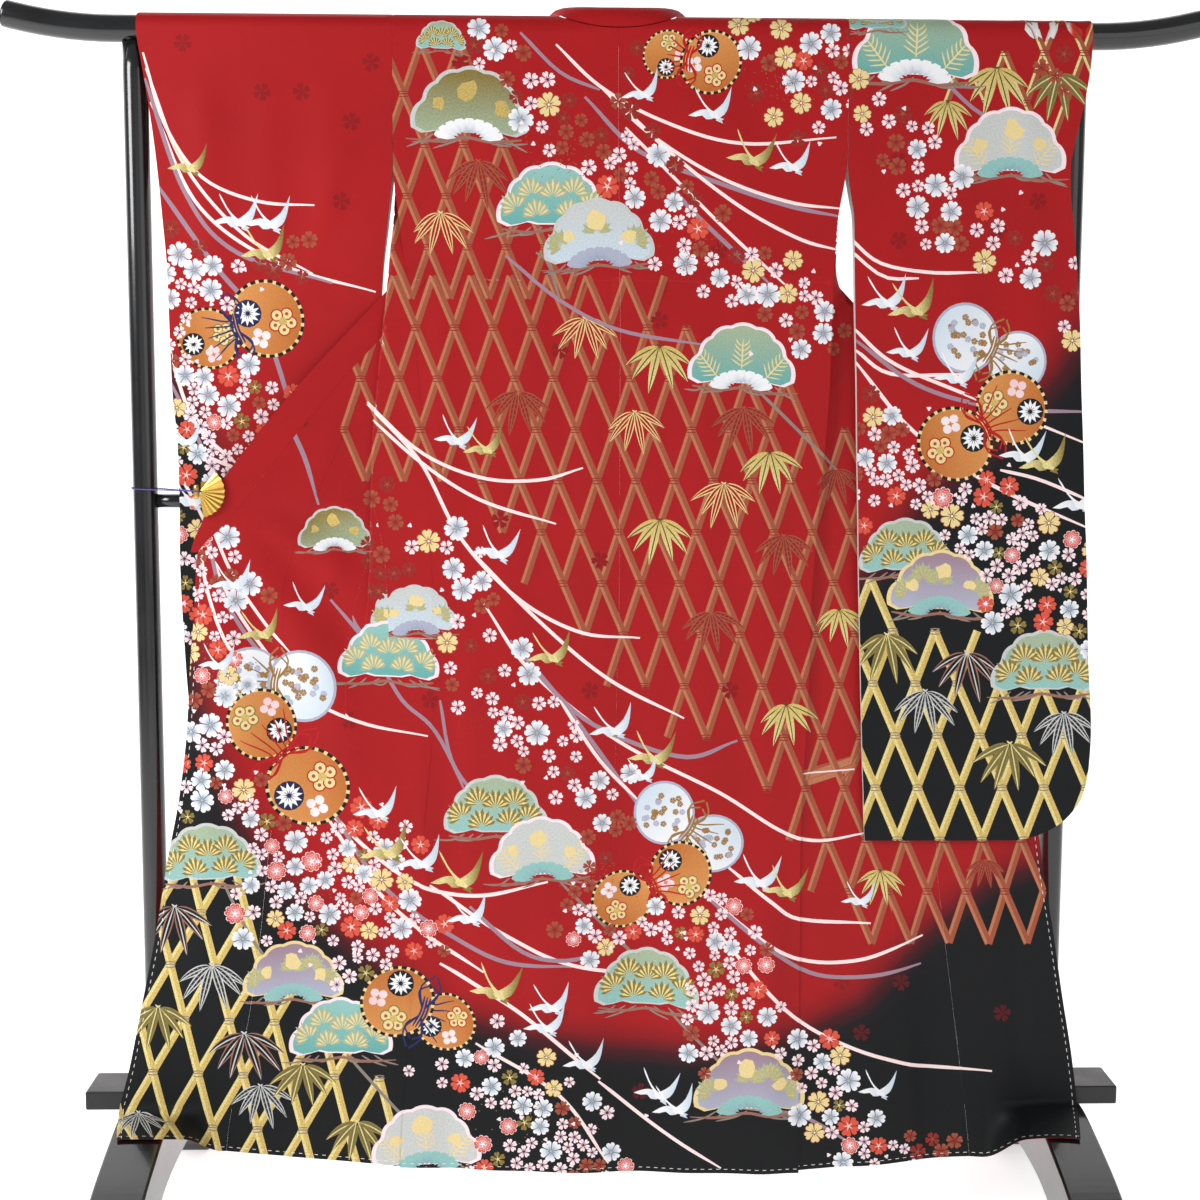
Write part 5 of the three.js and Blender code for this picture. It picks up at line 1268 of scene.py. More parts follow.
def add(tree, kind, values=None, **props):
    n = tree.nodes.new(kind)
    for k, v in props.items():
        setattr(n, k, v)
    for k, v in (values or {}).items():
        n.inputs[k].default_value = v
    return n


def maths(tree, operation, a, b=None):
    n = add(tree, "ShaderNodeMath", operation=operation)
    for k, v in enumerate((a, b)):
        if isinstance(v, (int, float)):
            n.inputs[k].default_value = v
        elif v is not None:
            link(tree, v, n.inputs[k])
    return n.outputs[0]


def blend(tree, f, a, b, kind="MIX"):
    n = add(tree, "ShaderNodeMix", data_type="RGBA", blend_type=kind)
    for k, v in ((0, f), (6, a), (7, b)):
        if isinstance(v, (int, float, tuple)):
            n.inputs[k].default_value = v
        else:
            link(tree, v, n.inputs[k])
    return n.outputs[2]


def ramp(tree, f, stops):
    n = add(tree, "ShaderNodeValToRGB")
    e = n.color_ramp.elements
    while len(e) < len(stops):
        e.new(0.5)
    for k, (p, c) in enumerate(stops):
        e[k].position = p
        e[k].color = (*[float(q) for q in linear(c)], 1)
    link(tree, f, n.inputs[0])
    return n.outputs[0]


crepe = bpy.data.node_groups.new("crepe", "ShaderNodeTree")   # fine pebbled weave with a slow unevenness
crepe.interface.new_socket("Place", in_out="INPUT", socket_type="NodeSocketVector")
crepe.interface.new_socket("Grain", in_out="INPUT", socket_type="NodeSocketFloat").default_value = 1
crepe.interface.new_socket("Tone", in_out="OUTPUT", socket_type="NodeSocketFloat")
crepe.interface.new_socket("Relief", in_out="OUTPUT", socket_type="NodeSocketFloat")
gi, go = crepe.nodes.new("NodeGroupInput"), crepe.nodes.new("NodeGroupOutput")
pebble = add(crepe, "ShaderNodeTexVoronoi", {"Scale": 620}, feature="SMOOTH_F1")
slub = add(crepe, "ShaderNodeTexNoise", {"Scale": 1.0, "Detail": 2})
longer = add(crepe, "ShaderNodeMapping", {"Scale": (900, 130, 900)})
slow = add(crepe, "ShaderNodeTexNoise", {"Scale": 9, "Detail": 4})
for n in (pebble, longer, slow):
    link(crepe, gi.outputs["Place"], n.inputs["Vector"])
link(crepe, longer.outputs[0], slub.inputs["Vector"])
relief = maths(crepe, "ADD", maths(crepe, "MULTIPLY", pebble.outputs["Distance"], gi.outputs["Grain"]),
    maths(crepe, "MULTIPLY", slub.outputs[0], 0.5))
link(crepe, relief, go.inputs["Relief"])
tone = maths(crepe, "ADD", maths(crepe, "MULTIPLY", slow.outputs[0], 0.6),
    maths(crepe, "MULTIPLY", slub.outputs[0], 0.4))
link(crepe, tone, go.inputs["Tone"])


def silkMaterial(name, printed):
    m, t, shader = newMaterial(name)
    uv = add(t, "ShaderNodeUVMap", uv_map="weave")
    weave = add(t, "ShaderNodeGroup", node_tree=crepe)
    weave.inputs["Grain"].default_value = 1.0
    link(t, uv.outputs[0], weave.inputs["Place"])
    dark = add(t, "ShaderNodeAttribute", attribute_name="dusk")
    drift = maths(t, "ADD", dark.outputs["Fac"], maths(t, "MULTIPLY",
        maths(t, "SUBTRACT", weave.outputs["Tone"], 0.5), 0.10))
    ground = ramp(t, drift, cut["ground"] if printed else cut["lining"])
    light = add(t, "ShaderNodeMapRange", {"From Min": 0.3, "From Max": 0.7, "To Min": 0.90, "To Max": 1.08})
    link(t, weave.outputs["Tone"], light.inputs["Value"])
    grey = add(t, "ShaderNodeCombineColor")
    for k in range(3):
        link(t, light.outputs[0], grey.inputs[k])
    ground = blend(t, 1.0, ground, grey.outputs[0], "MULTIPLY")
    colour = ground
    if printed:
        ink = add(t, "ShaderNodeAttribute", attribute_name="ink")
        foil = add(t, "ShaderNodeAttribute", attribute_name="foil")
        leaf = add(t, "ShaderNodeTexNoise", {"Scale": 420, "Detail": 3})   # broken gold leaf
        link(t, uv.outputs[0], leaf.inputs["Vector"])
        rub = add(t, "ShaderNodeMapRange", {"From Min": 0.35, "From Max": 0.65, "To Min": 0.78,
            "To Max": 1.16})
        link(t, leaf.outputs[0], rub.inputs["Value"])
        spread = blend(t, foil.outputs["Fac"], (1.0, 1.0, 1.0, 1), (0.0, 0.0, 0.0, 1))
        rubGrey = add(t, "ShaderNodeCombineColor")
        for k in range(3):
            link(t, rub.outputs[0], rubGrey.inputs[k])
        inkColour2 = blend(t, 1.0, ink.outputs["Color"],
            blend(t, spread, rubGrey.outputs[0], (1.0, 1.0, 1.0, 1)), "MULTIPLY")
        colour = blend(t, ink.outputs["Alpha"], ground, inkColour2)
        link(t, maths(t, "MULTIPLY", foil.outputs["Fac"], 0.35), shader.inputs["Metallic"])
        rough = maths(t, "SUBTRACT", 0.60, maths(t, "MULTIPLY", foil.outputs["Fac"], 0.18))
        link(t, maths(t, "ADD", rough, maths(t, "MULTIPLY", maths(t, "SUBTRACT", weave.outputs["Tone"], 0.5),
            0.12)), shader.inputs["Roughness"])
    else:
        shader.inputs["Roughness"].default_value = 0.62
    link(t, colour, shader.inputs["Base Color"])
    bump = add(t, "ShaderNodeBump", {"Strength": 0.16, "Distance": 0.0005})
    link(t, weave.outputs["Relief"], bump.inputs["Height"])
    link(t, bump.outputs[0], shader.inputs["Normal"])
    shader.inputs["Sheen Weight"].default_value = 0.04
    shader.inputs["Specular IOR Level"].default_value = 0.28
    shader.inputs["Sheen Roughness"].default_value = 0.4
    return m


cut = {
    "ground": [(0.0, (0.66, 0.030, 0.060)), (0.30, (0.54, 0.025, 0.060)), (0.55, (0.28, 0.025, 0.065)),
        (0.78, (0.07, 0.035, 0.065)), (1.0, (0.010, 0.022, 0.035))],
    "lining": [(0.0, (0.92, 0.91, 0.90)), (0.35, (0.90, 0.80, 0.77)), (0.7, (0.84, 0.26, 0.18)),
        (1.0, (0.80, 0.17, 0.12))],
    "body": (0.27, 3.34), "okumi": (0.125, 1.38), "sleeve": (0.31, 2.38), "collar": (0.046, 1.93)}
silk = silkMaterial("printed_silk_crepe", True)
lining = silkMaterial("silk_lining", False)


def sweep(lo, hi, n=160):
    return np.linspace(lo, hi, n)


def edgeLine(fn, vs):
    vs = np.asarray(vs, float)
    return np.stack([fn(vs), vs], 1)


def heightOf(v):
    return drape(np.maximum(shoulder - v, 0), 1)[1]


def frontPlaces(side, v):
    _, xs, ls = frontLengths(side, heightOf(v))
    return xs, ls


def finer(q, step=26.0):
    # an outline with its long edges divided, so that it can follow the fronts' slant
    made = []
    for a, b in zip(q, np.roll(q, -1, 0)):
        n = max(1, int(math.hypot(*(b - a)) / step))
        made.append(a + (b - a) * (np.arange(n) / n)[:, None])
    return np.vstack(made)


def toFront(side, art):
    # design onto the fronts: on the strip before the outer fold by distance from the side seam,
    # beyond the inner fold by distance from that fold
    made = []
    for q, k1, k2, g0, g1 in art:
        if side > 0 and q[:, 0].min() > 392 and q[:, 1].min() > 610:
            continue   # covered by the sleeve
        q = finer(q)
        v = np.clip(np.concatenate([q[:, 1], [g0[1], g1[1]]]), 60, shoulder)
        x = np.concatenate([q[:, 0], [g0[0], g1[0]]])
        if v[:-2].min() > 1500:
            continue
        xs, ls = frontPlaces(side, v)
        first = side * (x - xs[0])
        reach = ls[1] + 25
        if first[:-2].max() > -2 and (first[:-2] - reach[:-2]).min() < 0 and (ls[2] - ls[1])[0] > 1:
            p = np.stack([np.clip(first, -4, reach), v], 1)
            made.append((p[:-2], k1, k2, p[-2], p[-1]))
        beyond = side * (x - xs[2])
        # without a fold the strip runs on from the side seam
        least = np.where(ls[2] - ls[1] > 1, -36, -ls[1] - 4)
        if (beyond - least)[:-2].max() > 0:
            p = np.stack([ls[2] + np.maximum(beyond, least), v], 1)
            made.append((p[:-2], k1, k2, p[-2], p[-1]))
    return made


def hang(piece, nodes):
    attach(piece, "root")
    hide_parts(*nodes)


for side, word in ((-1, "left"), (1, "right")):
    fronts = toFront(side, bodyArt)
    # back panel: across by X, from the hem up to the shoulder line
    sideX = back[word]
    # the seam is drawn tight
    centreX = lambda v: back["centre"](np.minimum(heightOf(v), poleZ)) + side * 0.03
    sideSeam = lambda v: sideX(np.minimum(heightOf(v), poleZ))
    neckX = cloth["centreX"] + side * cloth["neckHalf"]
    hem = lambda u: mix(backHem[side], backHem[0], u)
    u = sweep(0, 1, 60)
    hemV = hem(u)
    hemLine = np.stack([mix(sideSeam(hemV), centreX(hemV), u), hemV], 1)
    neck = sweep(cloth["centreX"] + side * 0.15, neckX, 40)
    neckLine = np.stack([neck, shoulder - neckSeam(neck)], 1)
    topLine = np.array([(neckX, shoulder), (sideSeam(np.array([shoulder]))[0], shoulder)])
    centreLine = edgeLine(centreX, sweep(hem(1), shoulder - neckSeam(cloth["centreX"])))
    sideLine = edgeLine(sideSeam, sweep(hem(0), shoulder))
    if side < 0:
        border = [(hemLine, True, "hem", "stitch"), (centreLine, True), (neckLine, True), (topLine, False),
            (sideLine[::-1], True)]
    else:
        border = [(hemLine[::-1], True, "hem", "stitch"), (sideLine, True), (topLine[::-1], False),
            (neckLine[::-1], True), (centreLine[::-1], True)]
    parts = []
    panelMesh({"border": border, "art": bodyArt, "turn": 1,
               "rows": [tuckLine - 1.5, tuckLine - 0.5, tuckLine + 0.5, tuckLine + 1.6, tuckLine + 5],
               "point": backPoint, "shade": lambda x, z: dusk("body", x, z),
               "facing": lambda a, v, z: ease((760 - z) / 14)}, parts)
    # front of the same cloth: across by length of cloth from the side seam
    seamL = lambda v: frontPlaces(side, v)[1][3] - cloth["seamGap"] / 2
    fh = frontHem[side]
    low = sweep(0, 1, 60)
    lowV = mix(fh["side"], fh["okumi"], low)
    lowLine = np.stack([low * seamL(lowV), lowV], 1)
    rightLine = edgeLine(seamL, sweep(fh["okumi"], shoulder))
    topEnd = rightLine[-1, 0]
    border = [(lowLine, True, "hem", "stitch"), (rightLine, True),
        (np.array([(topEnd, shoulder), (0, shoulder)]), False),
        (np.array([(0, shoulder), (0, fh["side"])]), True)]

    def foldColumns(rows, side=side):
        ls = frontPlaces(side, rows)[1]
        return [ls[k] + off for k in (1, 2) for off in (-7, -4, -2, 0, 2, 4, 7)]
    panelMesh({"border": border, "art": fronts, "turn": side, "folds": foldColumns, "point": lambda a, v,
               side=side: frontPoint(side, a, v),
               "shade": lambda x, z: dusk("body", x, z), "facing": lambda a, v, z: ease((700 - z) / 14)},
               parts)
    body = meshFrom("body_" + word + "_silk", parts, [silk, lining])
    hang(body, ["body_" + word])

    # okumi panel beyond the front, down from its point
    outL = lambda v: frontPlaces(side, v)[1][4] - np.where(heightOf(v) > 1003.5, cloth["seamGap"] / 2, 0)
    inL = lambda v: frontPlaces(side, v)[1][3] + cloth["seamGap"] / 2
    topV = 1462.0
    hemO = lambda f: mix(fh["okumi"], fh["edge"], f)
    f = sweep(0, 1, 30)
    lowLine = np.stack([mix(inL(hemO(f)), outL(hemO(f)), f), hemO(f)], 1)
    right = edgeLine(outL, sweep(fh["edge"], 1003))
    upper = edgeLine(outL, sweep(1003.6, topV))   # joined to the collar
    left = edgeLine(inL, sweep(fh["okumi"], topV))
    border = [(lowLine, True, "hem", "stitch"), (right, True, "ground", "stitch"),
        (np.array([right[-1], upper[0]]), True), (upper, True), (np.array([upper[-1], left[-1]]), True),
        (left[::-1], True)]
    parts = []
    panelMesh({"border": border, "art": fronts, "turn": side, "point": lambda a, v,
               side=side: frontPoint(side, a, v),
               "shade": lambda x, z: dusk("body", x, z), "facing": lambda a, v, z: ease((700 - z) / 14)},
               parts)
    okumi = meshFrom("okumi_" + word + "_silk", parts, [silk, lining])
    hang(okumi, ["okumi_" + word])

    # sleeve: one cloth from the back's bottom edge over the pole to the front's
    t = sleeve[side]
    lowest, highest = sleeveBottom[side], 2 * shoulder - sleeveBottom[side]
    zOf = lambda w: drape(np.abs(shoulder - w), 1)[1]
    innerX = lambda w: t["inner"](zOf(w)) + side * cloth["seamGap"] * (zOf(w) > cloth["armholeZ"])
    outerX = lambda w: np.where(w > shoulder, t["fouter"](zOf(w)), t["outer"](zOf(w)))
    ws = sweep(lowest, highest, 900)
    inLine, outLine = edgeLine(innerX, ws), edgeLine(outerX, ws)
    if side < 0:
        border = [(np.array([outLine[0], inLine[0]]), True), (inLine, True, "lining"),
            (np.array([inLine[-1], outLine[-1]]), True), (outLine[::-1], True)]
    else:
        border = [(np.array([inLine[0], outLine[0]]), True), (outLine, True),
            (np.array([outLine[-1], inLine[-1]]), True), (inLine[::-1], True, "lining")]
    art = leftArt if side < 0 else rightArt
    mirrored = [(q * (1, -1) + (0, 2 * shoulder), a, b, g0 * (1, -1) + (0, 2 * shoulder),
        g1 * (1, -1) + (0, 2 * shoulder)) for q, a, b, g0, g1 in art]
    parts = []
    zone = "left" if side < 0 else "right"
    panelMesh({"border": border, "art": art + mirrored, "turn": 1, "point": lambda a, w,
               side=side: sleevePoint(side, a, w), "shade": lambda x, z, zone=zone: dusk(zone, x, z),
               "facing": lambda a, w, z: ease((36 - np.abs(a - outerX(w))) / 4)}, parts)
    arm = meshFrom("sleeve_" + word + "_silk", parts, [silk, lining])
    hang(arm, ["sleeve_" + word])

# collar: a band from the neck seam down both fronts; across it a quadratic Bezier curve between
# seam, crest and free edge, along it smooth curves through the stations
neckStations = [(14, (14, -19, 1777), (14, 10, 1766)), (-12, (-12, -18, 1776), (-14, 12, 1767)),
                (-40, (-41, -10, 1776), (-44, 20, 1769)),
                (-60, (-63, 6, 1775), (-68, 34, 1770)), (-71, (-77, 25, 1771), (-86, 50, 1762))]


def neckControls(side, k):
    x, mid, free = neckStations[k]
    flip = (lambda q: q) if side < 0 else (lambda q: 2 * cloth["centreX"] - q)
    d = max(0.0, float(neckSeam(np.array([x]))[0]) - cloth["seamGap"])
    a = d / bend
    lift = 1.9 if k == len(neckStations) - 1 else 0.4
    return np.array([(flip(x + (lift if k else 0)), -bend * math.sin(a) + 0.2,
        poleZ + bend * math.cos(a) + (0.3 if d == 0 else 0) + 0.9),
                     (flip(mid[0]), mid[1], mid[2]), (flip(free[0]), free[1], free[2])])


def frontControls(side, d):
    z = float(drape(np.array([d]), 1)[1][0])
    ls = frontLengths(side, np.array([z]))[2]
    v = np.array([shoulder - d])
    opening = float(ease((z - 1560) / 140))
    a = frontPoint(side, ls[4] + cloth["seamGap"] / 2 + 1.6 * ease((z - 1530) / 60), v)[0]
    b = frontPoint(side, ls[5], v)[0]
    a[1] += 1.3 * float(ease((z - 1600) / 90))
    full = max(8, min(57, float(ls[5][0] - ls[4][0]) + 60 * opening))
    m = np.array((mix(a[0], b[0], 0.5), mix(a[1], b[1], 0.5) + 22 * opening, z + 3 * opening))
    c = np.array((b[0] + side * 2 * opening, b[1] + opening * (full - 24) * 1.15, z + 4 * opening))
    if d > 40:
        return np.array([a, m, c])
    top = neckControls(side, len(neckStations) - 1)
    f = d / 33
    neckX = float(front[side]["collar"](min(z, poleZ + 25))) - side * 1.3
    return np.array([(neckX, a[1] + 0.8 * math.sin(d / bend), a[2] + 0.8 * math.cos(d / bend)),
        mix(top[1], m, min(1, f * 0.9)), mix(top[2], c, min(1, f * 0.9))])


drops = [11, 22, 33] + [quarter + poleZ - z for z in (1700, 1670, 1640, 1615, 1590, 1570, 1550, 1530, 1510,
                                                      1492, 1475, 1460, 1445, 1435, 1425, 1412, 1400, 1382,
                                                      1365, 1347, 1330, 1307,
                                                      1285, 1262, 1240, 1217, 1195, 1172, 1150, 1132, 1115,
                                                      1097, 1080, 1060, 1040, 1022, 1004)]
stations = [frontControls(-1, d) for d in reversed(drops)] + [neckControls(-1,
    k) for k in range(len(neckStations) - 1, 0, -1)] + [neckControls(-1, 0)]
stations += [neckControls(1, k) for k in range(1, len(neckStations))] + [frontControls(1, d) for d in drops]
stations = np.array(stations)
along = np.concatenate([[0], np.cumsum(np.linalg.norm(np.diff(stations[:, 1], axis=0), axis=1))])
bandCurves = curves(["s"] + ["c%d" % k for k in range(9)], [(s, *c.ravel()) for s, c in zip(along, stations)])
bandWidth = 57.0


def bandPoint(s, w):
    c = np.stack([bandCurves["c%d" % k](s) for k in range(9)], 1).reshape(-1, 3, 3)
    v = np.clip(w / bandWidth, 0, 1)[:, None]
    return (1 - v) ** 2 * c[:, 0] + 2 * v * (1 - v) * c[:, 1] + v ** 2 * c[:,
        2] + (w[:, None] / bandWidth - v) * (c[:, 2] - c[:, 1]) * 2


end = along[-1]
border = [(np.array([(0, 0), (end, 0)]), True), (np.array([(end, 0), (end, bandWidth)]), True),
    (np.array([(end, bandWidth), (0, bandWidth)]), True), (np.array([(0, bandWidth), (0, 0)]), True)]
parts = []
panelMesh({"border": border, "art": [], "turn": 1, "point": bandPoint, "shade": lambda x,
    z: dusk("body", x, z) * 0, "facing": lambda a, v, z: a * 0, "inner": 0}, parts)
collar = meshFrom("collar_silk", parts, [silk, lining])
hang(collar, ["collar"])
print("cloth made")

# stand: black lacquer


def lacquerMaterial(name, roughness, coat):
    m, t, shader = newMaterial(name)
    place = add(t, "ShaderNodeTexCoord")
    cloud = add(t, "ShaderNodeTexNoise", {"Scale": 14, "Detail": 3})
    dust = add(t, "ShaderNodeTexNoise", {"Scale": 260, "Detail": 2})
    for n in (cloud, dust):
        link(t, place.outputs["Object"], n.inputs["Vector"])
    worn = maths(t, "ADD", maths(t, "MULTIPLY", cloud.outputs[0], 0.7),
        maths(t, "MULTIPLY", dust.outputs[0], 0.3))
    link(t, ramp(t, worn, [(0.35, (0.075, 0.078, 0.085)), (0.7, (0.115, 0.118, 0.128))]),
        shader.inputs["Base Color"])
    rough = add(t, "ShaderNodeMapRange", {"From Min": 0.35, "From Max": 0.7, "To Min": roughness * 0.8,
        "To Max": roughness * 1.3})
    link(t, worn, rough.inputs["Value"])
    link(t, rough.outputs[0], shader.inputs["Roughness"])
    bump = add(t, "ShaderNodeBump", {"Strength": 0.05, "Distance": 0.001})
    link(t, cloud.outputs[0], bump.inputs["Height"])
    link(t, bump.outputs[0], shader.inputs["Normal"])
    shader.inputs["Coat Weight"].default_value = coat
    shader.inputs["Coat Roughness"].default_value = 0.08
    return m


gloss = lacquerMaterial("gloss_lacquer", 0.20, 0.5)
satin = lacquerMaterial("satin_lacquer", 0.42, 0.1)


def solid(name, verts, faces, material, node, smooth=True, bevel=0.0):
    mesh = bpy.data.meshes.new(name)
    mesh.from_pydata([tuple(v) for v in np.asarray(verts) / 1000], [], faces)
    mesh.materials.append(material)
    mesh.polygons.foreach_set("use_smooth", np.full(len(mesh.polygons), smooth))
    mesh.update()
    piece = bpy.data.objects.new(name, mesh)
    scene.collection.objects.link(piece)
    if bevel:
        b = piece.modifiers.new("edges", "BEVEL")
        b.width = bevel / 1000
        b.segments = 3
        b.limit_method = "ANGLE"
        b.angle_limit = math.radians(35)
        b.harden_normals = True
    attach(piece, "root")
    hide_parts(node)
    return piece


def tubeGrid(path, radii, sides, loop=False):
    # rings of even points round a path, their plane square to it
    p = np.asarray(path, float)
    r = np.broadcast_to(np.asarray(radii, float), (len(p),))
    run = (np.roll(p, -1, 0) - np.roll(p, 1, 0)) if loop else np.gradient(p, axis=0)
    run /= np.linalg.norm(run, axis=1)[:, None]
    ref = np.where(np.abs(run[:, 2:3]) > 0.9, (0, 1, 0), (0, 0, 1))
    e1 = np.cross(ref, run)
    e1 /= np.linalg.norm(e1, axis=1)[:, None]
    e2 = np.cross(run, e1)
    a = np.linspace(0, 2 * math.pi, sides, endpoint=False)
    grid = p[:, None] + r[:, None, None] * (e1[:, None] * np.cos(a)[:, None] + e2[:, None] * np.sin(a)[:,
        None])
    verts = grid.reshape(-1, 3)
    n = len(p)
    faces = []
    for i in range(n if loop else n - 1):
        j = (i + 1) % n
        for k in range(sides):
            m = (k + 1) % sides
            faces.append((i * sides + k, i * sides + m, j * sides + m, j * sides + k))
    if not loop:
        faces += [tuple(range(sides))[::-1], tuple(range((n - 1) * sides, n * sides))]
    return verts, faces


def roundedEnd(length, radius, soft):
    # stations near an end, and radii that close with a quarter round
    t = np.linspace(0, math.pi / 2, 7)
    return length - soft + soft * np.sin(t), radius - soft + soft * np.cos(t)


xe, re = roundedEnd(stand["poleHalf"], stand["poleRadius"], 5)
xs = np.concatenate([-xe[::-1], np.linspace(-830, 830, 84), xe])
rs = np.concatenate([re[::-1], np.full(84, stand["poleRadius"]), re])
riseOf = np.maximum(0, np.abs(xs) - 690) / (stand["poleHalf"] - 690)
verts, faces = tubeGrid(np.stack([xs, 0 * xs, poleZ + stand["poleRise"] * riseOf ** 2], 1), rs, 48)
solid("pole_lacquer", verts, faces, gloss, "pole")
for side, word in ((-1, "left"), (1, "right")):
    z0, z1 = stand["beamTop"] + stand["gap"], poleZ - stand["poleRadius"] - stand["gap"]
    zs = np.linspace(z0, z1, 40)
    verts, faces = tubeGrid(np.stack([np.full(40, side * stand["uprightX"]), 0 * zs, zs], 1),
        stand["uprightRadius"], 48)
    solid("upright_" + word + "_lacquer", verts, faces, gloss, "upright_" + word)
end = stand["uprightX"] - stand["uprightRadius"] - stand["gap"]
xs = np.linspace(-end, end, 60)
verts, faces = tubeGrid(np.stack([xs, 0 * xs, np.full(60, stand["railZ"])], 1), stand["railRadius"], 32)
solid("rail_lacquer", verts, faces, gloss, "rail")


def board(outline, x0, x1):
    # outline in depth and height carried along X; closed by its two end faces
    o = np.asarray(outline, float)
    n = len(o)
    verts = np.vstack([np.column_stack([np.full(n, x), o]) for x in (x0, x1)])
    area = np.sum(o[:, 0] * np.roll(o[:, 1], -1) - np.roll(o[:, 0], -1) * o[:, 1])
    ends = [tuple(range(n))[::-1], tuple(range(n, 2 * n))]
    sides = [(i, (i + 1) % n, (i + 1) % n + n, i + n) for i in range(n)]
    faces = ends + sides
    return verts, faces if area > 0 else [f[::-1] for f in faces]


half, low = stand["beamDepth"] / 2, stand["beamTop"] - stand["beamHeight"]
verts, faces = board([(-half, low), (half, low), (half, stand["beamTop"]), (-half, stand["beamTop"])],
    -stand["beamHalf"], stand["beamHalf"])
solid("beam_lacquer", verts, faces, satin, "beam", False, 3.0)
archTop = np.array([(y, float(footTop(np.array([y]))[0])) for y in np.concatenate([np.linspace(0, 300, 25),
    np.linspace(308, 349, 12)])] + [(350, 0)])
archLow = smoothLine([(236, 0), (222, 24), (195, 48), (155, 68), (105, 82), (55, 88), (0, 90)], 22)
outline = np.vstack([archTop, archLow, (archLow * (-1, 1))[-2::-1], (archTop * (-1, 1))[:0:-1]])
for side, word in ((-1, "left"), (1, "right")):
    x0, x1 = side * stand["footX"] - stand["footWidth"] / 2, side * stand["footX"] + stand["footWidth"] / 2
    verts, faces = board(outline, x0, x1)
    solid("foot_" + word + "_lacquer", verts, faces, gloss, "foot_" + word, False, 4.0)
print("stand made")

# clip: gold metal, with its thread round the upright
clipLook = {"x": -576, "y": -54.2, "z": 1090, "hinge": -4, "strand": 0.62, "twists": 46}
metal, t, shader = newMaterial("clip_gold")
place = add(t, "ShaderNodeTexCoord")
scratch = add(t, "ShaderNodeTexNoise", {"Scale": 1.0, "Detail": 3})
stretch = add(t, "ShaderNodeMapping", {"Scale": (300, 300, 2400)})
link(t, place.outputs["Object"], stretch.inputs["Vector"])
link(t, stretch.outputs[0], scratch.inputs["Vector"])
link(t, ramp(t, scratch.outputs[0], [(0.3, (0.80, 0.60, 0.24)), (0.7, (0.93, 0.78, 0.42))]),
    shader.inputs["Base Color"])
rough = add(t, "ShaderNodeMapRange", {"To Min": 0.22, "To Max": 0.42})
link(t, scratch.outputs[0], rough.inputs["Value"])
link(t, rough.outputs[0], shader.inputs["Roughness"])
bump = add(t, "ShaderNodeBump", {"Strength": 0.1, "Distance": 0.0003})
link(t, scratch.outputs[0], bump.inputs["Height"])
link(t, bump.outputs[0], shader.inputs["Normal"])
shader.inputs["Metallic"].default_value = 1.0
for node in ("clip_fan", "clip_bead", "clip_jaw"):
    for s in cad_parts[node].material_slots:
        s.material = metal

strandMaterial, t, shader = newMaterial("thread_violet")
uv = add(t, "ShaderNodeTexCoord")
wave = add(t, "ShaderNodeTexNoise", {"Scale": 1800, "Detail": 2})
link(t, uv.outputs["Object"], wave.inputs["Vector"])
link(t, ramp(t, wave.outputs[0], [(0.3, (0.20, 0.14, 0.52)), (0.7, (0.34, 0.26, 0.72))]),
    shader.inputs["Base Color"])
bump = add(t, "ShaderNodeBump", {"Strength": 0.3, "Distance": 0.0003})
link(t, wave.outputs[0], bump.inputs["Height"])
link(t, bump.outputs[0], shader.inputs["Normal"])
shader.inputs["Roughness"].default_value = 0.6
shader.inputs["Sheen Weight"].default_value = 0.3

# thread loop: round the upright, along two tangents, round the hinge; two strands twisted about it
cx, cy, rBig = -stand["uprightX"], 0.0, stand["uprightRadius"] + 1.7
bx, by, rSmall = clipLook["x"] + clipLook["hinge"], clipLook["y"], 5.8
dx, dy = bx - cx, by - cy
base, openAngle = math.atan2(dy, dx), math.acos((rBig - 6) / math.hypot(dx, dy))
i = np.linspace(0, 1, 60)
a = base + openAngle + (2 * math.pi - 2 * openAngle) * i
z0 = clipLook["z"] + 1.5
big = np.stack([cx + rBig * np.cos(a), cy + rBig * np.sin(a), z0 + 1.5 * np.sin(i * math.pi)], 1)
i = np.linspace(0, 1, 20)
a = base - openAngle + 2 * openAngle * i
small = np.stack([bx + rSmall * np.cos(a), by + rSmall * np.sin(a), z0 - 1.2 * i], 1)
gapA = mix(big[-1], small[0], np.linspace(0, 1, 42)[1:-1, None])
gapB = mix(small[-1], big[0], np.linspace(0, 1, 42)[1:-1, None])
loop = np.vstack([big, gapA, small, gapB])
run = np.roll(loop, -1, 0) - np.roll(loop, 1, 0)
run /= np.linalg.norm(run, axis=1)[:, None]
e1 = np.cross((0, 0, 1), run)
e1 /= np.linalg.norm(e1, axis=1)[:, None]
e2 = np.cross(run, e1)
spin = np.linspace(0, 2 * math.pi * clipLook["twists"], len(loop), endpoint=False)
verts, faces = [], []
for half in (0, math.pi):
    centre = loop + 0.5 * (e1 * np.cos(spin + half)[:, None] + e2 * np.sin(spin + half)[:, None])
    v, f = tubeGrid(centre, clipLook["strand"], 8, True)
    faces += [tuple(q + len(verts) * len(v) for q in face) for face in f]
    verts.append(v)
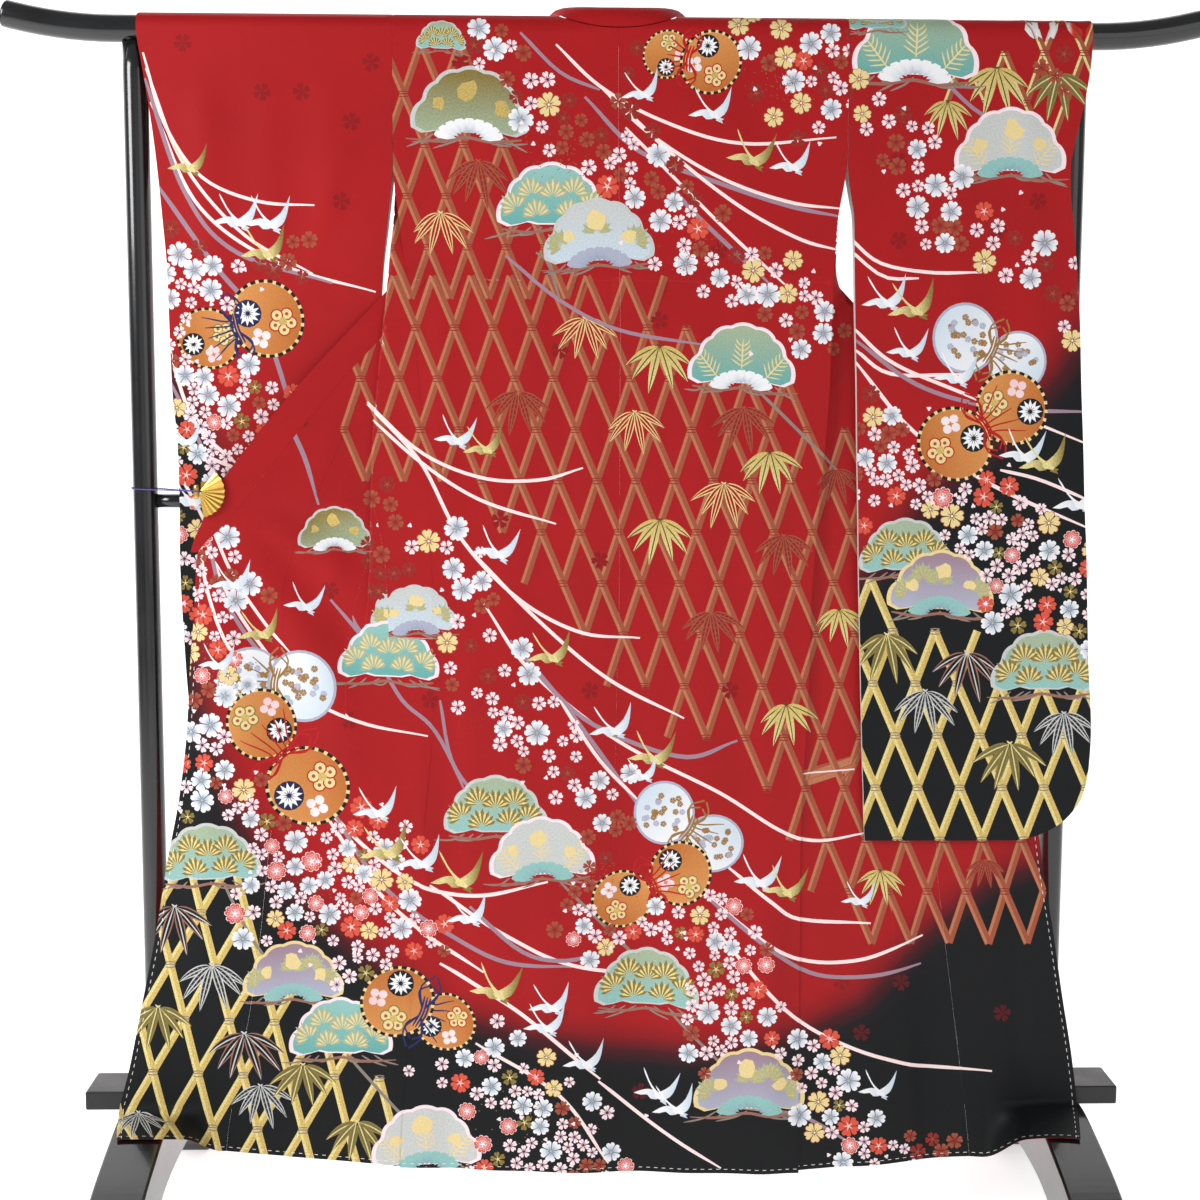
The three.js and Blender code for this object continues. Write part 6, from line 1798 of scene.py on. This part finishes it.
solid("clip_thread_twisted", np.vstack(verts), faces, strandMaterial, "clip_thread")

# surroundings: white seamless paper and soft studio light
room = {"wallY": 1.3, "bend": 0.6, "half": 5.0, "front": -4.5}
ys = np.concatenate([[room["front"]], room["wallY"] - room["bend"] + room["bend"] * np.sin(np.linspace(0,
    math.pi / 2, 16)), [room["wallY"]]])
zs = np.concatenate([[0.0], room["bend"] - room["bend"] * np.cos(np.linspace(0, math.pi / 2, 16)), [4.5]])
verts = [(x, y, z) for y, z in zip(ys, zs) for x in (-room["half"], room["half"])]
faces = [(2 * i, 2 * i + 1, 2 * i + 3, 2 * i + 2) for i in range(len(ys) - 1)]
paperMesh = bpy.data.meshes.new("paper")
paperMesh.from_pydata(verts, [], faces)
paperMesh.polygons.foreach_set("use_smooth", [True] * len(faces))
paper = bpy.data.objects.new("paper", paperMesh)
scene.collection.objects.link(paper)
paperMaterial, t, shader = newMaterial("white_paper")
shader.inputs["Base Color"].default_value = (0.93, 0.93, 0.93, 1)
shader.inputs["Roughness"].default_value = 0.9
shader.inputs["Emission Color"].default_value = (1, 1, 1, 1)
shader.inputs["Emission Strength"].default_value = 0.55
paperMesh.materials.append(paperMaterial)
world = bpy.data.worlds.new("studio")
world.use_nodes = True
world.node_tree.nodes["Background"].inputs[0].default_value = (1, 1, 1, 1)
world.node_tree.nodes["Background"].inputs[1].default_value = 0.27
scene.world = world
for name, power, size, at, aim in (("key", 78, 1.4, (-2.8, -1.7, 2.3), (0, 0, 1.0)),
    ("fill", 15, 2.2, (2.2, -2.8, 1.6), (0, 0, 0.9)), ("front", 8, 2.6, (0.1, -3.6, 0.9), (0, 0, 0.8))):
    lamp = bpy.data.lights.new(name, "AREA")
    lamp.energy = power
    lamp.size = size
    light = bpy.data.objects.new(name, lamp)
    scene.collection.objects.link(light)
    light.matrix_world = Matrix.Translation(at) @ (Vector(aim) - Vector(at)).to_track_quat("-Z",
        "Y").to_matrix().to_4x4()
scene.view_settings.view_transform = "Standard"
bpy.context.view_layer.update()
print("scene ready")
